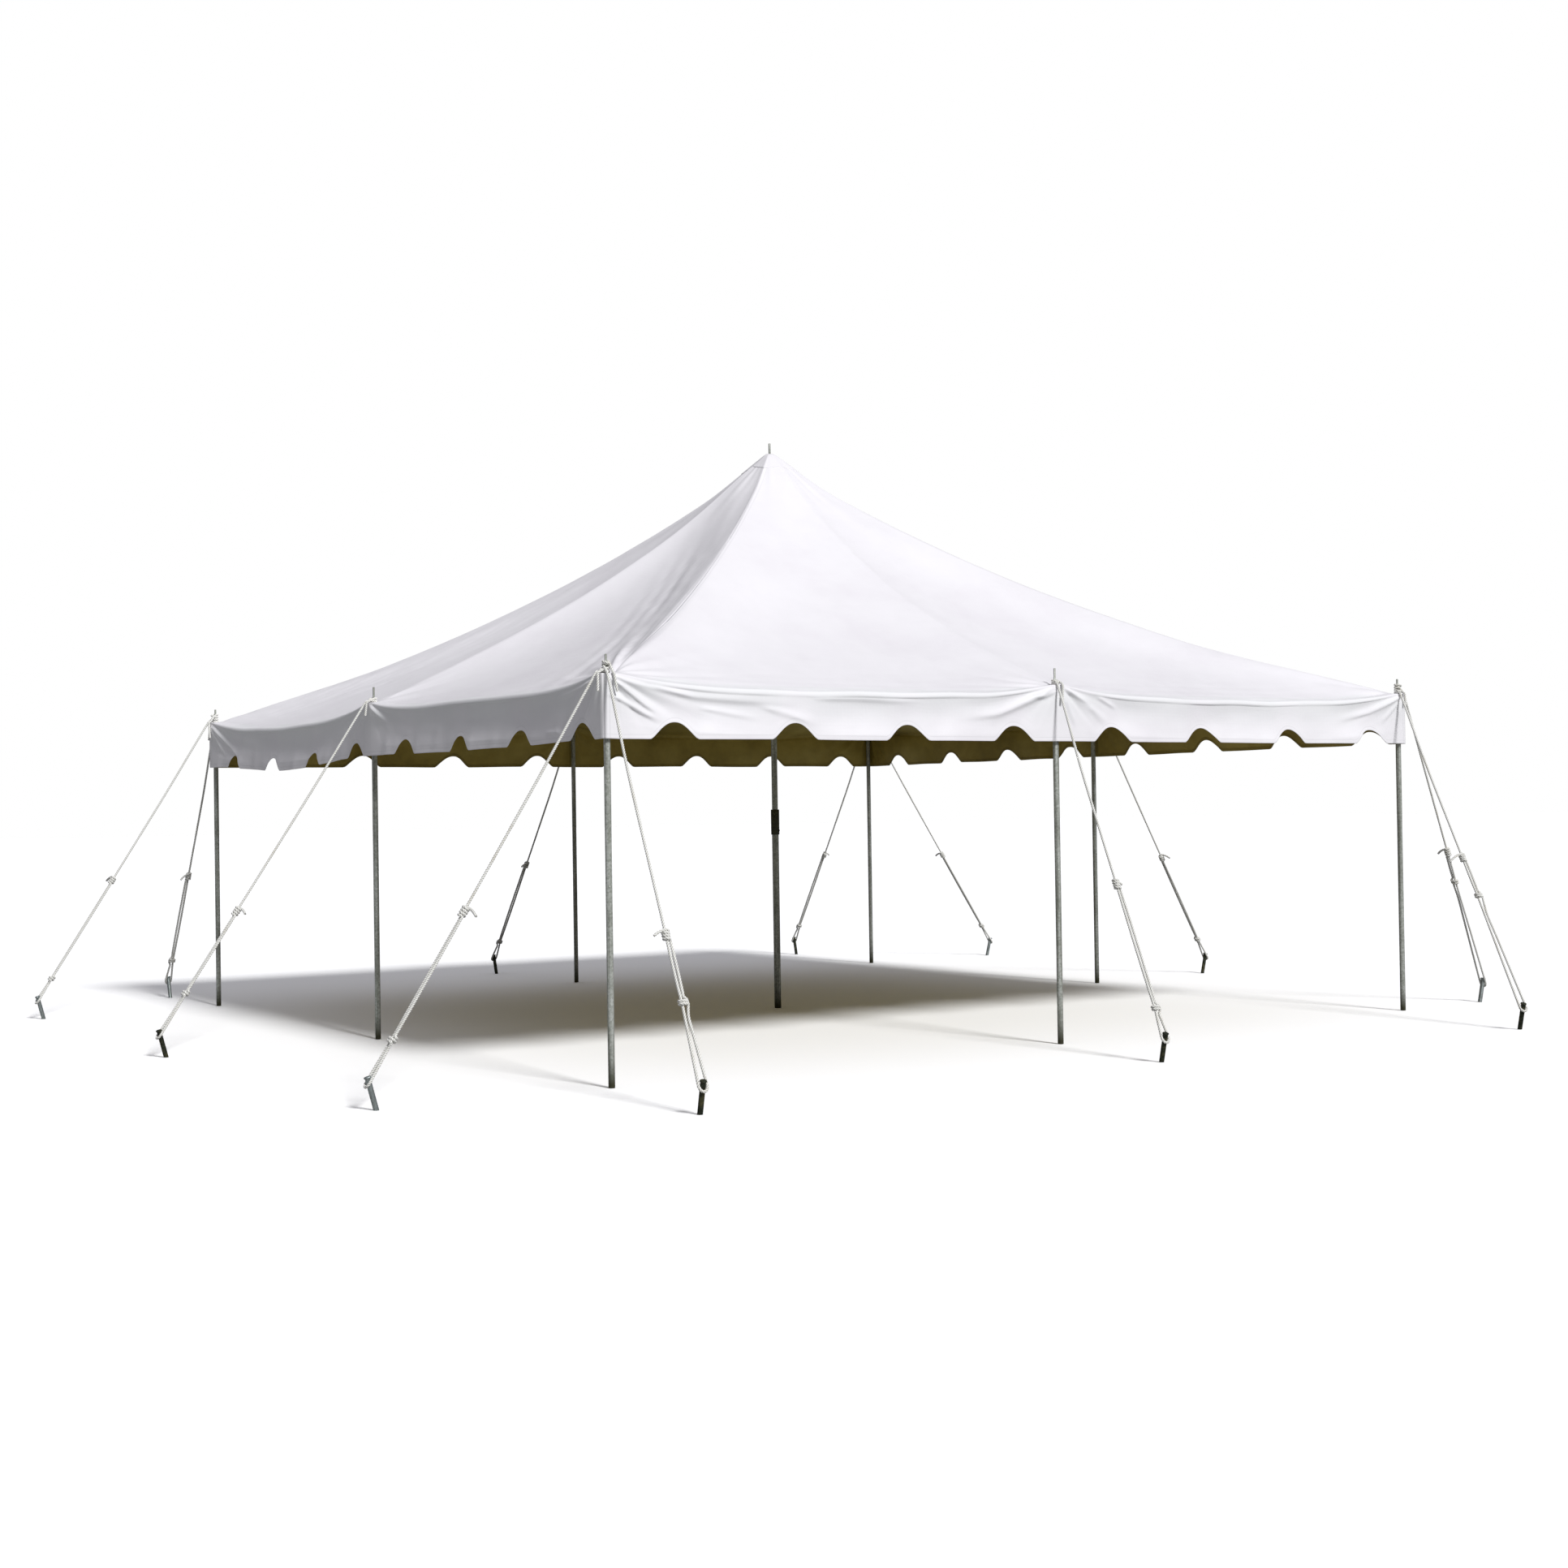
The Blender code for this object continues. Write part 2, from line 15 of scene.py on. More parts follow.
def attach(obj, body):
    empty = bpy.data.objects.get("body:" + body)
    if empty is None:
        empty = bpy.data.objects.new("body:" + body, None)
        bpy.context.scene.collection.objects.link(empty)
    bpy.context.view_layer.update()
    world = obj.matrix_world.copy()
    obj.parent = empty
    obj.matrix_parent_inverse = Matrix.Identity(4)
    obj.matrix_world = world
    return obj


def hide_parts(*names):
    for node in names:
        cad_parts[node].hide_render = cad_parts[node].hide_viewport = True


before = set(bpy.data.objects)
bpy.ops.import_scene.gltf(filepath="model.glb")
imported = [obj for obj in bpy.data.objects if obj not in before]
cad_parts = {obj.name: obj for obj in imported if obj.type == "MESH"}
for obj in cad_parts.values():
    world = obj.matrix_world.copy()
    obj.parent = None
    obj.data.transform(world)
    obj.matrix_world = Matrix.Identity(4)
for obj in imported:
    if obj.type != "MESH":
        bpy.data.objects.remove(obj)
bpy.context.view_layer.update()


# Stage
# A plain pale floor under soft studio light: a broad key from the front and high up, and light from
# all round. The camera stands where the photographer stood, low and to the front left of the tent.

CAMERA_PLACE = Vector((-8.338, -12.616, 1.428))
CAMERA_AZIMUTH = math.radians(-33.717)
CAMERA_ELEVATION = math.radians(-0.658)
CAMERA_ROLL = math.radians(-0.866)
CAMERA_LENS = 48.46
SENSOR = 36.0

KEY_FROM = Vector((0.02, -0.785, 0.62))
KEY_STRENGTH = 2.7
KEY_SPREAD = math.radians(12)
LIGHT_LEVEL = 0.12
LIGHT_OVERHEAD = 0.41
BACKGROUND = 1.0
FLOOR_SEEN = 1.32
FLOOR_GIVES = (0.37, 0.375, 0.37, 1)


def linear(code):
    """Turns an sRGB hex colour into the linear values that a shader takes."""
    parts = [int(code[at:at + 2], 16) / 255 for at in (1, 3, 5)]
    return (*(part / 12.92 if part <= 0.04045 else ((part + 0.055) / 1.055) ** 2.4 for part in parts), 1.0)


def plug(tree, node, sockets):
    """Sets sockets, by name or in order, to a value, a hex colour, an output or a node's first output."""
    for name, value in sockets.items() if isinstance(sockets, dict) else enumerate(sockets):
        if isinstance(value, bpy.types.Node):
            value = next(output for output in value.outputs if output.enabled)
        if isinstance(value, bpy.types.NodeSocket):
            tree.links.new(value, node.inputs[name])
        else:
            node.inputs[name].default_value = linear(value) if str(value).startswith("#") else value


def add(tree, kind, sockets=(), stops=None, **settings):
    """Adds a node. A shader node's kind lacks its ShaderNode, and stops are a ramp's places and colours."""
    made = tree.nodes.new(kind if "Node" in kind else "ShaderNode" + kind)
    for name, value in settings.items():
        setattr(made, name, value)
    plug(tree, made, sockets)
    if stops:
        elements = made.color_ramp.elements
        while len(elements) < len(stops):
            elements.new(0.5)
        for element, (place, colour) in zip(elements, stops):
            element.position = place
            element.color = linear(colour) if isinstance(colour, str) else (colour, colour, colour, 1.0)
    return made


def new_material(name):
    """An empty material: its name, its node tree and its shader, linked to the output."""
    material = bpy.data.materials.new(name)
    material.use_nodes = True
    tree = material.node_tree
    tree.nodes.clear()
    shader = add(tree, "BsdfPrincipled")
    add(tree, "OutputMaterial", {"Surface": shader.outputs["BSDF"]})
    return material, tree, shader


def new_object(name, points, faces, materials, edges=()):
    """A smooth mesh object at the origin, from points and faces."""
    mesh = bpy.data.meshes.new(name)
    mesh.from_pydata([tuple(point) for point in points], edges, [tuple(face) for face in faces])
    mesh.update()
    for material in materials:
        mesh.materials.append(material)
    mesh.shade_smooth()
    obj = bpy.data.objects.new(name, mesh)
    bpy.context.scene.collection.objects.link(obj)
    return obj


back = Vector((
    math.sin(CAMERA_AZIMUTH) * math.cos(CAMERA_ELEVATION),
    -math.cos(CAMERA_AZIMUTH) * math.cos(CAMERA_ELEVATION),
    math.sin(CAMERA_ELEVATION),
))
right = Vector((math.cos(CAMERA_AZIMUTH), math.sin(CAMERA_AZIMUTH), 0))
above = back.cross(right)
rolled_right = right * math.cos(CAMERA_ROLL) + above * math.sin(CAMERA_ROLL)
rolled_above = above * math.cos(CAMERA_ROLL) - right * math.sin(CAMERA_ROLL)
lens = bpy.data.cameras.new("camera")
lens.lens = CAMERA_LENS
lens.sensor_width = SENSOR
lens.clip_end = 400
camera = bpy.data.objects.new("camera", lens)
camera_turn = Matrix((rolled_right, rolled_above, back)).transposed()
camera.matrix_world = Matrix.Translation(CAMERA_PLACE) @ camera_turn.to_4x4()
bpy.context.scene.collection.objects.link(camera)
bpy.context.scene.camera = camera

key_light = bpy.data.lights.new("key", "SUN")
key_light.energy = KEY_STRENGTH
key_light.angle = KEY_SPREAD
key = bpy.data.objects.new("key", key_light)
key.rotation_euler = KEY_FROM.to_track_quat("Z", "Y").to_euler()
bpy.context.scene.collection.objects.link(key)

world = bpy.data.worlds.new("studio")
world.use_nodes = True
sky = world.node_tree
sky.nodes.clear()
heading = add(sky, "TexCoord").outputs["Generated"]
upward = add(sky, "SeparateXYZ", {0: heading}).outputs["Z"]
paler = add(sky, "MapRange", (upward, 0.0, 1.0, LIGHT_LEVEL, LIGHT_OVERHEAD))
lit = add(sky, "Background", {"Color": "#f8f8ff", "Strength": paler})
seen = add(sky, "Background", {"Color": (1, 1, 1, 1), "Strength": BACKGROUND})
which = add(sky, "LightPath")
both = add(sky, "MixShader", (which.outputs["Is Camera Ray"], lit, seen))
add(sky, "OutputWorld", {"Surface": both})
bpy.context.scene.world = world
bpy.context.scene.view_settings.view_transform = "Standard"

# The floor is lit to white, and gives back only as much light as pale ground does
floor_paint, tree, shader = new_material("matt white studio floor")
tree.nodes.remove(shader)
white = add(tree, "BsdfDiffuse", {"Color": (FLOOR_SEEN, FLOOR_SEEN, FLOOR_SEEN, 1)})
pale = add(tree, "BsdfDiffuse", {"Color": FLOOR_GIVES})
which = add(tree, "LightPath")
both = add(tree, "MixShader", (which.outputs["Is Camera Ray"], pale, white))
plug(tree, tree.nodes["Material Output"], {"Surface": both})
FLOOR_REACH = 150.0
floor = new_object(
    "floor",
    [(x * FLOOR_REACH, y * FLOOR_REACH, -0.001) for x, y in ((-1, -1), (1, -1), (1, 1), (-1, 1))],
    [(0, 1, 2, 3)],
    [floor_paint],
)


# Side poles
# Eight steel tubes, 35 mm across and 2.13 m long, hot-dip galvanised. Each has a plugged foot, a
# welded head with a 13 mm pin for the canopy and its ropes, and a spring button halfway up.

HALF = 3.048
EAVE_HEIGHT = 2.134
SIDE_POLE_RADIUS = 0.0175
SIDE_PIN_RADIUS = 0.0065
SIDE_PIN_LENGTH = 0.105
WELD = 0.004
PIN_TIP = 0.0022
BUTTON_HEIGHT = 1.035
BUTTON_RADIUS = 0.0052
BUTTON_STEPS = 16
ROUND = 40

POLES = {
    "front_left": (-HALF, -HALF),
    "front_middle": (0, -HALF),
    "front_right": (HALF, -HALF),
    "right_middle": (HALF, 0),
    "back_right": (HALF, HALF),
    "back_middle": (0, HALF),
    "back_left": (-HALF, HALF),
    "left_middle": (-HALF, 0),
}


def lathe(profile, steps=ROUND):
    """Points and faces of a solid turned about +Z, from (radius, height) pairs, from top to foot."""
    points, faces, rings = [], [], []
    for radius, height in profile:
        if radius == 0:
            rings.append([len(points)])
            points.append((0.0, 0.0, height))
            continue
        rings.append(range(len(points), len(points) + steps))
        for step in range(steps):
            angle = 2 * math.pi * step / steps
            points.append((radius * math.cos(angle), radius * math.sin(angle), height))
    for upper, lower in zip(rings, rings[1:]):
        for step in range(steps):
            there = (step + 1) % steps
            if len(upper) == 1:
                faces.append((upper[0], lower[step], lower[there]))
            elif len(lower) == 1:
                faces.append((upper[step], lower[0], upper[there]))
            else:
                faces.append((upper[step], lower[step], lower[there], upper[there]))
    return points, faces


def sharpen(obj, degrees=38):
    """Keeps the edges that are meant to be seen."""
    obj.data.set_sharp_from_angle(angle=math.radians(degrees))


def fix_on(obj, profile, steps, place, facing):
    """Adds a small turned shape, such as a button or a screw's head, facing out of a piece at a place."""
    points, faces = lathe(profile, steps)
    spin = Vector((0, 0, 1)).rotation_difference(facing).to_matrix().to_4x4()
    matrix = Matrix.Translation(place) @ spin
    bm = bmesh.new()
    bm.from_mesh(obj.data)
    verts = [bm.verts.new(matrix @ Vector(point)) for point in points]
    for face in faces:
        bm.faces.new([verts[index] for index in face]).smooth = True
    bm.to_mesh(obj.data)
    bm.free()


def button(rise):
    """The profile of a spring button that stands that far out of its tube."""
    wide = BUTTON_RADIUS
    return [(0, rise), (wide * 0.6, rise - 0.0004), (wide, 0), (wide, -0.002), (0, -0.002)]


# Zinc coat on a drawn tube: dull light grey with a faint spangle and streaks along the tube, olive
# grime where hands and turf reach, a dark foot, and painted shade darkening the head under the canopy
galvanised, tree, shader = new_material("hot-dip galvanised steel")
place = add(tree, "TexCoord").outputs["Object"]
SPANGLE = 1 / 0.010
spangle = add(tree, "TexVoronoi", {"Vector": place, "Scale": SPANGLE, "Randomness": 1.0})
along = add(tree, "Mapping", {"Vector": place, "Scale": (70.0, 70.0, 1.6)})
streaks = add(tree, "TexNoise", {"Vector": along, "Scale": 1.0, "Detail": 5.0, "Roughness": 0.6})
cloudy = add(tree, "TexNoise", {"Vector": place, "Scale": 5.0, "Detail": 4.0})
height = add(tree, "SeparateXYZ", {"Vector": place}).outputs["Z"]
crystals = add(tree, "SeparateColor", {"Color": spangle.outputs["Color"]})
zinc = add(
    tree, "ValToRGB", {"Fac": streaks}, stops=((0.32, "#8f9188"), (0.50, "#c3c6c0"), (0.68, "#e0e3df")),
)
tint = add(tree, "Mix", {0: crystals.outputs["Red"], 6: "#cfd2cc", 7: "#ffffff"}, data_type="RGBA")
coat = add(tree, "Mix", {0: 1.0, 6: zinc, 7: tint}, data_type="RGBA", blend_type="MULTIPLY")
foot = add(tree, "MapRange", (height, 0.02, 0.16, 1.0, 0.0))
# painted shade: the pole is darkened towards its head, where the canopy's valance shades it
head = add(tree, "MapRange", (height, 1.86, 2.12, 0.0, 0.28))
foot_grime_and_head_shade = add(tree, "Math", (foot, head), operation="MAXIMUM")
patchy = add(tree, "MapRange", (cloudy, 0.45, 0.75, 0.0, 0.42))
grime_and_shade = add(tree, "Math", (foot_grime_and_head_shade, patchy), operation="MAXIMUM")
grimed_and_shaded = add(tree, "Mix", {0: grime_and_shade, 6: coat, 7: "#4a4936"}, data_type="RGBA")
dull = add(tree, "MapRange", (streaks, 0.3, 0.7, 0.58, 0.36))
relief = add(tree, "Bump", {"Strength": 0.25, "Distance": 0.0006, "Height": streaks})
plug(tree, shader, {"Base Color": grimed_and_shaded, "Metallic": 0.35, "Roughness": dull, "Normal": relief})

tip = EAVE_HEIGHT + SIDE_PIN_LENGTH
profile = [
    (0, tip),
    (SIDE_PIN_RADIUS - PIN_TIP, tip),
    (SIDE_PIN_RADIUS - PIN_TIP * 0.3, tip - PIN_TIP * 0.4),
    (SIDE_PIN_RADIUS, tip - PIN_TIP),
    (SIDE_PIN_RADIUS, EAVE_HEIGHT + WELD),
    (SIDE_PIN_RADIUS + WELD * 0.4, EAVE_HEIGHT + WELD * 0.4),
    (SIDE_PIN_RADIUS + WELD, EAVE_HEIGHT),
    (SIDE_POLE_RADIUS - 0.0022, EAVE_HEIGHT),
    (SIDE_POLE_RADIUS - 0.0006, EAVE_HEIGHT - 0.0006),
    (SIDE_POLE_RADIUS, EAVE_HEIGHT - 0.0022),
    *((SIDE_POLE_RADIUS, EAVE_HEIGHT * share) for share in (0.9, 0.7, 0.5, 0.3, 0.1)),
    (SIDE_POLE_RADIUS, 0.0014),
    (SIDE_POLE_RADIUS - 0.0006, 0.0004),
    (SIDE_POLE_RADIUS - 0.0014, 0.0),
    (0, 0),
]
points, faces = lathe(profile)
facing = Vector((-0.35, -1, 0)).normalized()
for name, (x, y) in POLES.items():
    pole = new_object(
        "pole_" + name, [Vector(point) + Vector((x, y, 0)) for point in points], faces, [galvanised],
    )
    at = Vector((x, y, BUTTON_HEIGHT)) + facing * SIDE_POLE_RADIUS
    fix_on(pole, button(0.0016), BUTTON_STEPS, at, facing)
    sharpen(pole)
    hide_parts("side_pole_" + name)
    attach(pole, "root")


# Centre pole
# Two lengths of galvanised tube, 48 mm and 42 mm across, that meet in a sleeve 1.33 m up. The upper
# one ends in a 16 mm pin, which stands through the peak of the canopy.

PEAK_HEIGHT = 3.962
CENTRE_LOWER_RADIUS = 0.024
CENTRE_UPPER_RADIUS = 0.021
CENTRE_PIN_RADIUS = 0.008
CENTRE_PIN_LENGTH = 0.085
POLE_JOINT_HEIGHT = 1.330
SLEEVE_WALL = 0.0055
SLEEVE_LENGTH = 0.180
CENTRE_BUTTON_HEIGHT = 0.65
SEAM = 0.0003

tip = PEAK_HEIGHT + CENTRE_PIN_LENGTH
joint = POLE_JOINT_HEIGHT
points, faces = lathe([
    (0, joint),
    (CENTRE_LOWER_RADIUS - 0.0015, joint),
    (CENTRE_LOWER_RADIUS, joint - 0.0015),
    *((CENTRE_LOWER_RADIUS, joint * share) for share in (0.8, 0.6, 0.4, 0.2)),
    (CENTRE_LOWER_RADIUS, 0.0016),
    (CENTRE_LOWER_RADIUS - 0.0007, 0.0005),
    (CENTRE_LOWER_RADIUS - 0.0016, 0),
    (0, 0),
])
lower_pole = new_object("centre_pole_lower_length", points, faces, [galvanised])
facing = Vector((-0.45, -1, 0)).normalized()
at = Vector((0, 0, CENTRE_BUTTON_HEIGHT)) + facing * CENTRE_LOWER_RADIUS
fix_on(lower_pole, button(0.0018), BUTTON_STEPS, at, facing)
points, faces = lathe([
    (0, tip),
    (CENTRE_PIN_RADIUS - 0.0026, tip),
    (CENTRE_PIN_RADIUS - 0.0008, tip - 0.0009),
    (CENTRE_PIN_RADIUS, tip - 0.0026),
    (CENTRE_PIN_RADIUS, PEAK_HEIGHT + WELD),
    (CENTRE_PIN_RADIUS + WELD, PEAK_HEIGHT),
    (CENTRE_UPPER_RADIUS - 0.003, PEAK_HEIGHT),
    (CENTRE_UPPER_RADIUS - 0.0009, PEAK_HEIGHT - 0.0009),
    (CENTRE_UPPER_RADIUS, PEAK_HEIGHT - 0.003),
    *((CENTRE_UPPER_RADIUS, joint + (PEAK_HEIGHT - joint) * share) for share in (0.8, 0.6, 0.4, 0.2)),
    (CENTRE_UPPER_RADIUS, joint + SEAM),
    (0, joint + SEAM),
])
upper_pole = new_object("centre_pole_upper_length", points, faces, [galvanised])
for pole, node in ((lower_pole, "centre_pole_lower"), (upper_pole, "centre_pole_upper")):
    sharpen(pole)
    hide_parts(node)
    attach(pole, "root")


# Sleeve
# A short length of wider steel tube over the joint, brush-painted dark olive and worn, with its
# edges filed round, and held by two clamp screws with hexagon heads.

SLEEVE_TOP = POLE_JOINT_HEIGHT + SLEEVE_LENGTH / 2
SLEEVE_FOOT = POLE_JOINT_HEIGHT - SLEEVE_LENGTH / 2
SLEEVE_RADIUS = CENTRE_LOWER_RADIUS + SEAM + SLEEVE_WALL
SLEEVE_RIM = 0.0022
SCREW_ACROSS = 0.013
SCREW_HEAD = 0.0055

# Brush paint on mild steel: half matt and mottled olive
olive_paint, tree, shader = new_material("brush-painted mild steel")
place = add(tree, "TexCoord").outputs["Object"]
mottle = add(tree, "TexNoise", {"Vector": place, "Scale": 45.0, "Detail": 6.0, "Roughness": 0.62})
brushed = add(tree, "Mapping", {"Vector": place, "Scale": (160.0, 160.0, 12.0)})
brush = add(tree, "TexNoise", {"Vector": brushed, "Scale": 1.0, "Detail": 3.0})
paint = add(
    tree, "ValToRGB", {"Fac": mottle}, stops=((0.34, "#26251a"), (0.52, "#3f3e27"), (0.70, "#5d5a3c")),
)
gloss = add(tree, "MapRange", (mottle, 0.3, 0.7, 0.42, 0.68))
relief = add(tree, "Bump", {"Strength": 0.5, "Distance": 0.0006, "Height": brush})
plug(tree, shader, {"Base Color": paint, "Metallic": 0.2, "Roughness": gloss, "Normal": relief})

rim = SLEEVE_RIM
profile = [
    (CENTRE_UPPER_RADIUS + SEAM, SLEEVE_TOP - 0.004),
    (CENTRE_UPPER_RADIUS + SEAM, SLEEVE_TOP),
    (SLEEVE_RADIUS - rim, SLEEVE_TOP),
    (SLEEVE_RADIUS - rim * 0.3, SLEEVE_TOP - rim * 0.3),
    (SLEEVE_RADIUS, SLEEVE_TOP - rim),
    (SLEEVE_RADIUS, SLEEVE_TOP * 0.6 + SLEEVE_FOOT * 0.4),
    (SLEEVE_RADIUS, SLEEVE_FOOT + rim),
    (SLEEVE_RADIUS - rim * 0.3, SLEEVE_FOOT + rim * 0.3),
    (SLEEVE_RADIUS - rim, SLEEVE_FOOT),
    (CENTRE_LOWER_RADIUS + SEAM, SLEEVE_FOOT),
    (CENTRE_LOWER_RADIUS + SEAM, POLE_JOINT_HEIGHT),
    (CENTRE_UPPER_RADIUS + SEAM, POLE_JOINT_HEIGHT),
]
points, faces = lathe(profile)
last = (len(profile) - 1) * ROUND
for step in range(ROUND):
    there = (step + 1) % ROUND
    faces.append((last + step, step, there, last + there))
sleeve = new_object("pole_sleeve", points, faces, [olive_paint])
hexagon = [
    (0, SCREW_HEAD),
    (SCREW_ACROSS * 0.5, SCREW_HEAD),
    (SCREW_ACROSS * 0.58, SCREW_HEAD - 0.0012),
    (SCREW_ACROSS * 0.58, -0.003),
    (0, -0.003),
]
for turn, level in ((-1.95, SLEEVE_TOP - 0.022), (-1.15, SLEEVE_FOOT + 0.030)):
    facing = Vector((math.cos(turn), math.sin(turn), 0))
    fix_on(sleeve, hexagon, 6, facing * SLEEVE_RADIUS + Vector((0, 0, level)), facing)
sharpen(sleeve)
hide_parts("centre_pole_sleeve")
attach(sleeve, "root")


# Canopy
# One sewn top of white PVC-coated polyester, its inside painted olive brown as shade: four gores
# welded at the hips, each with its scalloped valance. Its holes go over the pins, and it is pulled taut.

FABRIC = 0.004
SKIN = 0.0022
EDGE = 3.090
EAVE_UNDERSIDE = 2.1343
SEAT_INNER = 3.0235
CROWN_RADIUS = 0.030
CROWN_HOLE = 0.0115
CROWN_UNDERSIDE = 3.9623
EAVE_SAG = 0.062
EAVE_BOW = 0.025
EAVE_FLAT = 0.045
EAVE_ROLL = 0.012
EAVE_SHARPNESS = 4
ROOF_SAG = 0.235
ROOF_SAG_LEAN = 0.45
PANEL_DIP = 0.040
VALANCE_DROP = 0.334
NOTCHES = 8
NOTCH_HEIGHT = 0.090
NOTCH_WIDTH = 0.300
NOTCH_FLARE = 0.147
NOTCH_DOME = 0.72
NOTCH_SHIFTS = {"front": 0.045, "right": -0.08, "back": -0.06, "left": 0.15}
CORNER_ROUND = 0.030
ROLL_STEPS = 9
COLUMNS = 360
VALANCE_ROWS = {"front": 48, "right": 26, "back": 26, "left": 48}
SLOPE_LENGTH = 3.55
SIDES = {"front": 0, "right": 90, "back": 180, "left": 270}
# How wide the cloth bends over a hip and its slope there, how far the hips are lifted, with what the
# front left one has more, and how far the side ridges are
HIP_ROUND = 0.34
HIP_SLOPE = 0.52
HIP_LIFT = 0.045
HIP_LIFT_FRONT_LEFT = 0.030
SIDE_RIDGE = 0.085
# How deep the slack folds are beside the front left hip, beside the other hips and behind the ridges
SLACK_FRONT_LEFT = 0.013
SLACK_HIPS = 0.006
SLACK_RIDGES = 0.0045
# How far the pleats round the peak and the small gathers along the eave stand out
PLEAT_RISE = 0.0028
GATHER_RISE = 0.0011
GATHER_PITCH = 0.12
# The cloth's roll over the eave: its reach at a pole and what it gains between two. Then how far the
# eave and the hem waver up and down
ROLL_TIGHT = 0.008
ROLL_SLACK = 0.026
EAVE_UNEVEN = 0.0085
HEM_UNEVEN = 0.0045
# How much lower the left side's eave and hem hang than the others, behind its middle pole and before it
EAVE_SLACK = (0.022, -0.016)
HEM_SLACK = (0.056, 0.010)


def smooth(low, high, value):
    """A soft step from 0 at low to 1 at high."""
    share = np.clip((value - low) / (high - low), 0, 1)
    return share * share * (3 - 2 * share)


def seed_of(name):
    """A fixed seed for a piece's random draws."""
    return sum(map(ord, name))


def side_turn(side):
    """The matrix that turns a point of the front side to another side."""
    turn = math.radians(SIDES[side])
    return np.array([[math.cos(turn), -math.sin(turn), 0], [math.sin(turn), math.cos(turn), 0], [0, 0, 1]])


def eave_hang(u):
    """How fully the eave hangs: 0 at a pole and 1 in the middle between two."""
    share = np.clip((np.abs(u) * EDGE - EAVE_FLAT) / (HALF - 2 * EAVE_FLAT), 0, 1)
    return 1 - np.abs(2 * share - 1) ** EAVE_SHARPNESS


def roof_top(u, run):
    """The top of the stretched roof of the front side: run is 0 at the crown and 1 at the pole heads."""
    hang = eave_hang(u)
    low = EAVE_UNDERSIDE - (EAVE_SAG - EAVE_ROLL) * hang
    seat = np.stack([u * SEAT_INNER, -SEAT_INNER + EAVE_BOW * hang, low], -1)
    out = np.stack([u * EDGE, -EDGE + EAVE_BOW * hang], -1)
    out = out / np.linalg.norm(out, axis=-1, keepdims=True) * CROWN_RADIUS
    crown = np.concatenate([out, np.full((*u.shape, 1), CROWN_UNDERSIDE)], -1)
    point = crown * (1 - run)[..., None] + seat * run[..., None]
    arch = 4 * run * (1 - run)
    between = 4 * np.abs(u) * (1 - np.abs(u))
    point[..., 2] += FABRIC - arch * (ROOF_SAG * (1 + ROOF_SAG_LEAN * (0.5 - run)) + PANEL_DIP * between)
    return point


def ripple(x, y, length, seed):
    """Uneven waves of about that length over the plane, from -1 to 1."""
    dice = np.random.default_rng(seed)
    total = np.zeros_like(x)
    for _ in range(7):
        heading, phase = dice.uniform(0, 2 * math.pi, 2)
        pace = 2 * math.pi / (length * dice.uniform(0.7, 1.5))
        total += np.sin((x * math.cos(heading) + y * math.sin(heading)) * pace + phase)
    return total / 7


# The folds that the pins pull into the roof: the heading from the pin as seen from above, how far the
# fold runs, its height (below 0 it is a valley) and its width at its far end
ROOF_FOLDS = {
    "front_left": (
        (4, 1.5, -0.004, 0.030), (9, 1.1, 0.005, 0.034), (14, 1.6, -0.005, 0.032),
        (19, 1.0, 0.005, 0.030), (25, 1.3, -0.006, 0.040), (31, 1.5, 0.005, 0.036),
        (37, 1.3, -0.006, 0.040), (42, 1.6, 0.006, 0.045), (48, 3.0, -0.012, 0.045),
        (51, 2.8, -0.044, 0.125), (55, 2.2, 0.024, 0.060), (59, 2.0, -0.026, 0.065),
        (62, 1.6, 0.010, 0.040), (66, 1.4, 0.014, 0.052), (71, 1.2, -0.014, 0.050),
        (77, 1.0, 0.010, 0.045), (83, 0.9, -0.010, 0.045),
    ),
    "front_middle": (
        (6, 0.9, -0.005, 0.035), (17, 0.6, 0.004, 0.035), (28, 0.8, -0.004, 0.040),
        (44, 0.5, 0.004, 0.040), (62, 0.8, -0.005, 0.050), (84, 0.6, 0.004, 0.050),
        (104, 0.7, -0.004, 0.050), (122, 0.6, 0.005, 0.040), (138, 0.8, -0.005, 0.045),
        (152, 0.6, 0.005, 0.040), (163, 0.9, -0.005, 0.035), (174, 1.1, -0.005, 0.035),
    ),
    "left_middle": (
        (-86, 1.1, -0.006, 0.040), (-76, 0.8, 0.006, 0.040), (-64, 1.0, -0.007, 0.050),
        (-50, 0.8, 0.006, 0.050), (-34, 0.9, -0.006, 0.050), (-16, 0.7, 0.005, 0.045),
        (14, 1.2, -0.009, 0.070), (34, 0.8, 0.006, 0.050), (55, 0.9, -0.007, 0.050),
        (72, 0.8, 0.006, 0.040), (84, 1.0, -0.006, 0.040),
    ),
}


def folds_of(name, x, y):
    """The folds of a pin: as in the photograph for the nearest ones, and made up like them for the rest."""
    if name in ROOF_FOLDS:
        return ROOF_FOLDS[name]
    dice = np.random.default_rng(seed_of(name))
    inward = math.degrees(math.atan2(-y, -x))
    spread = 42 if x * y else 82
    count = 8
    made = []
    for number in range(count):
        heading = inward - spread + 2 * spread * (number + dice.uniform(0.25, 0.75)) / count
        sign = -1 if number % 2 else 1
        reach = dice.uniform(0.5, 1.3)
        tall = sign * dice.uniform(0.004, 0.011)
        made.append((heading, reach, tall, dice.uniform(0.045, 0.085)))
    return made


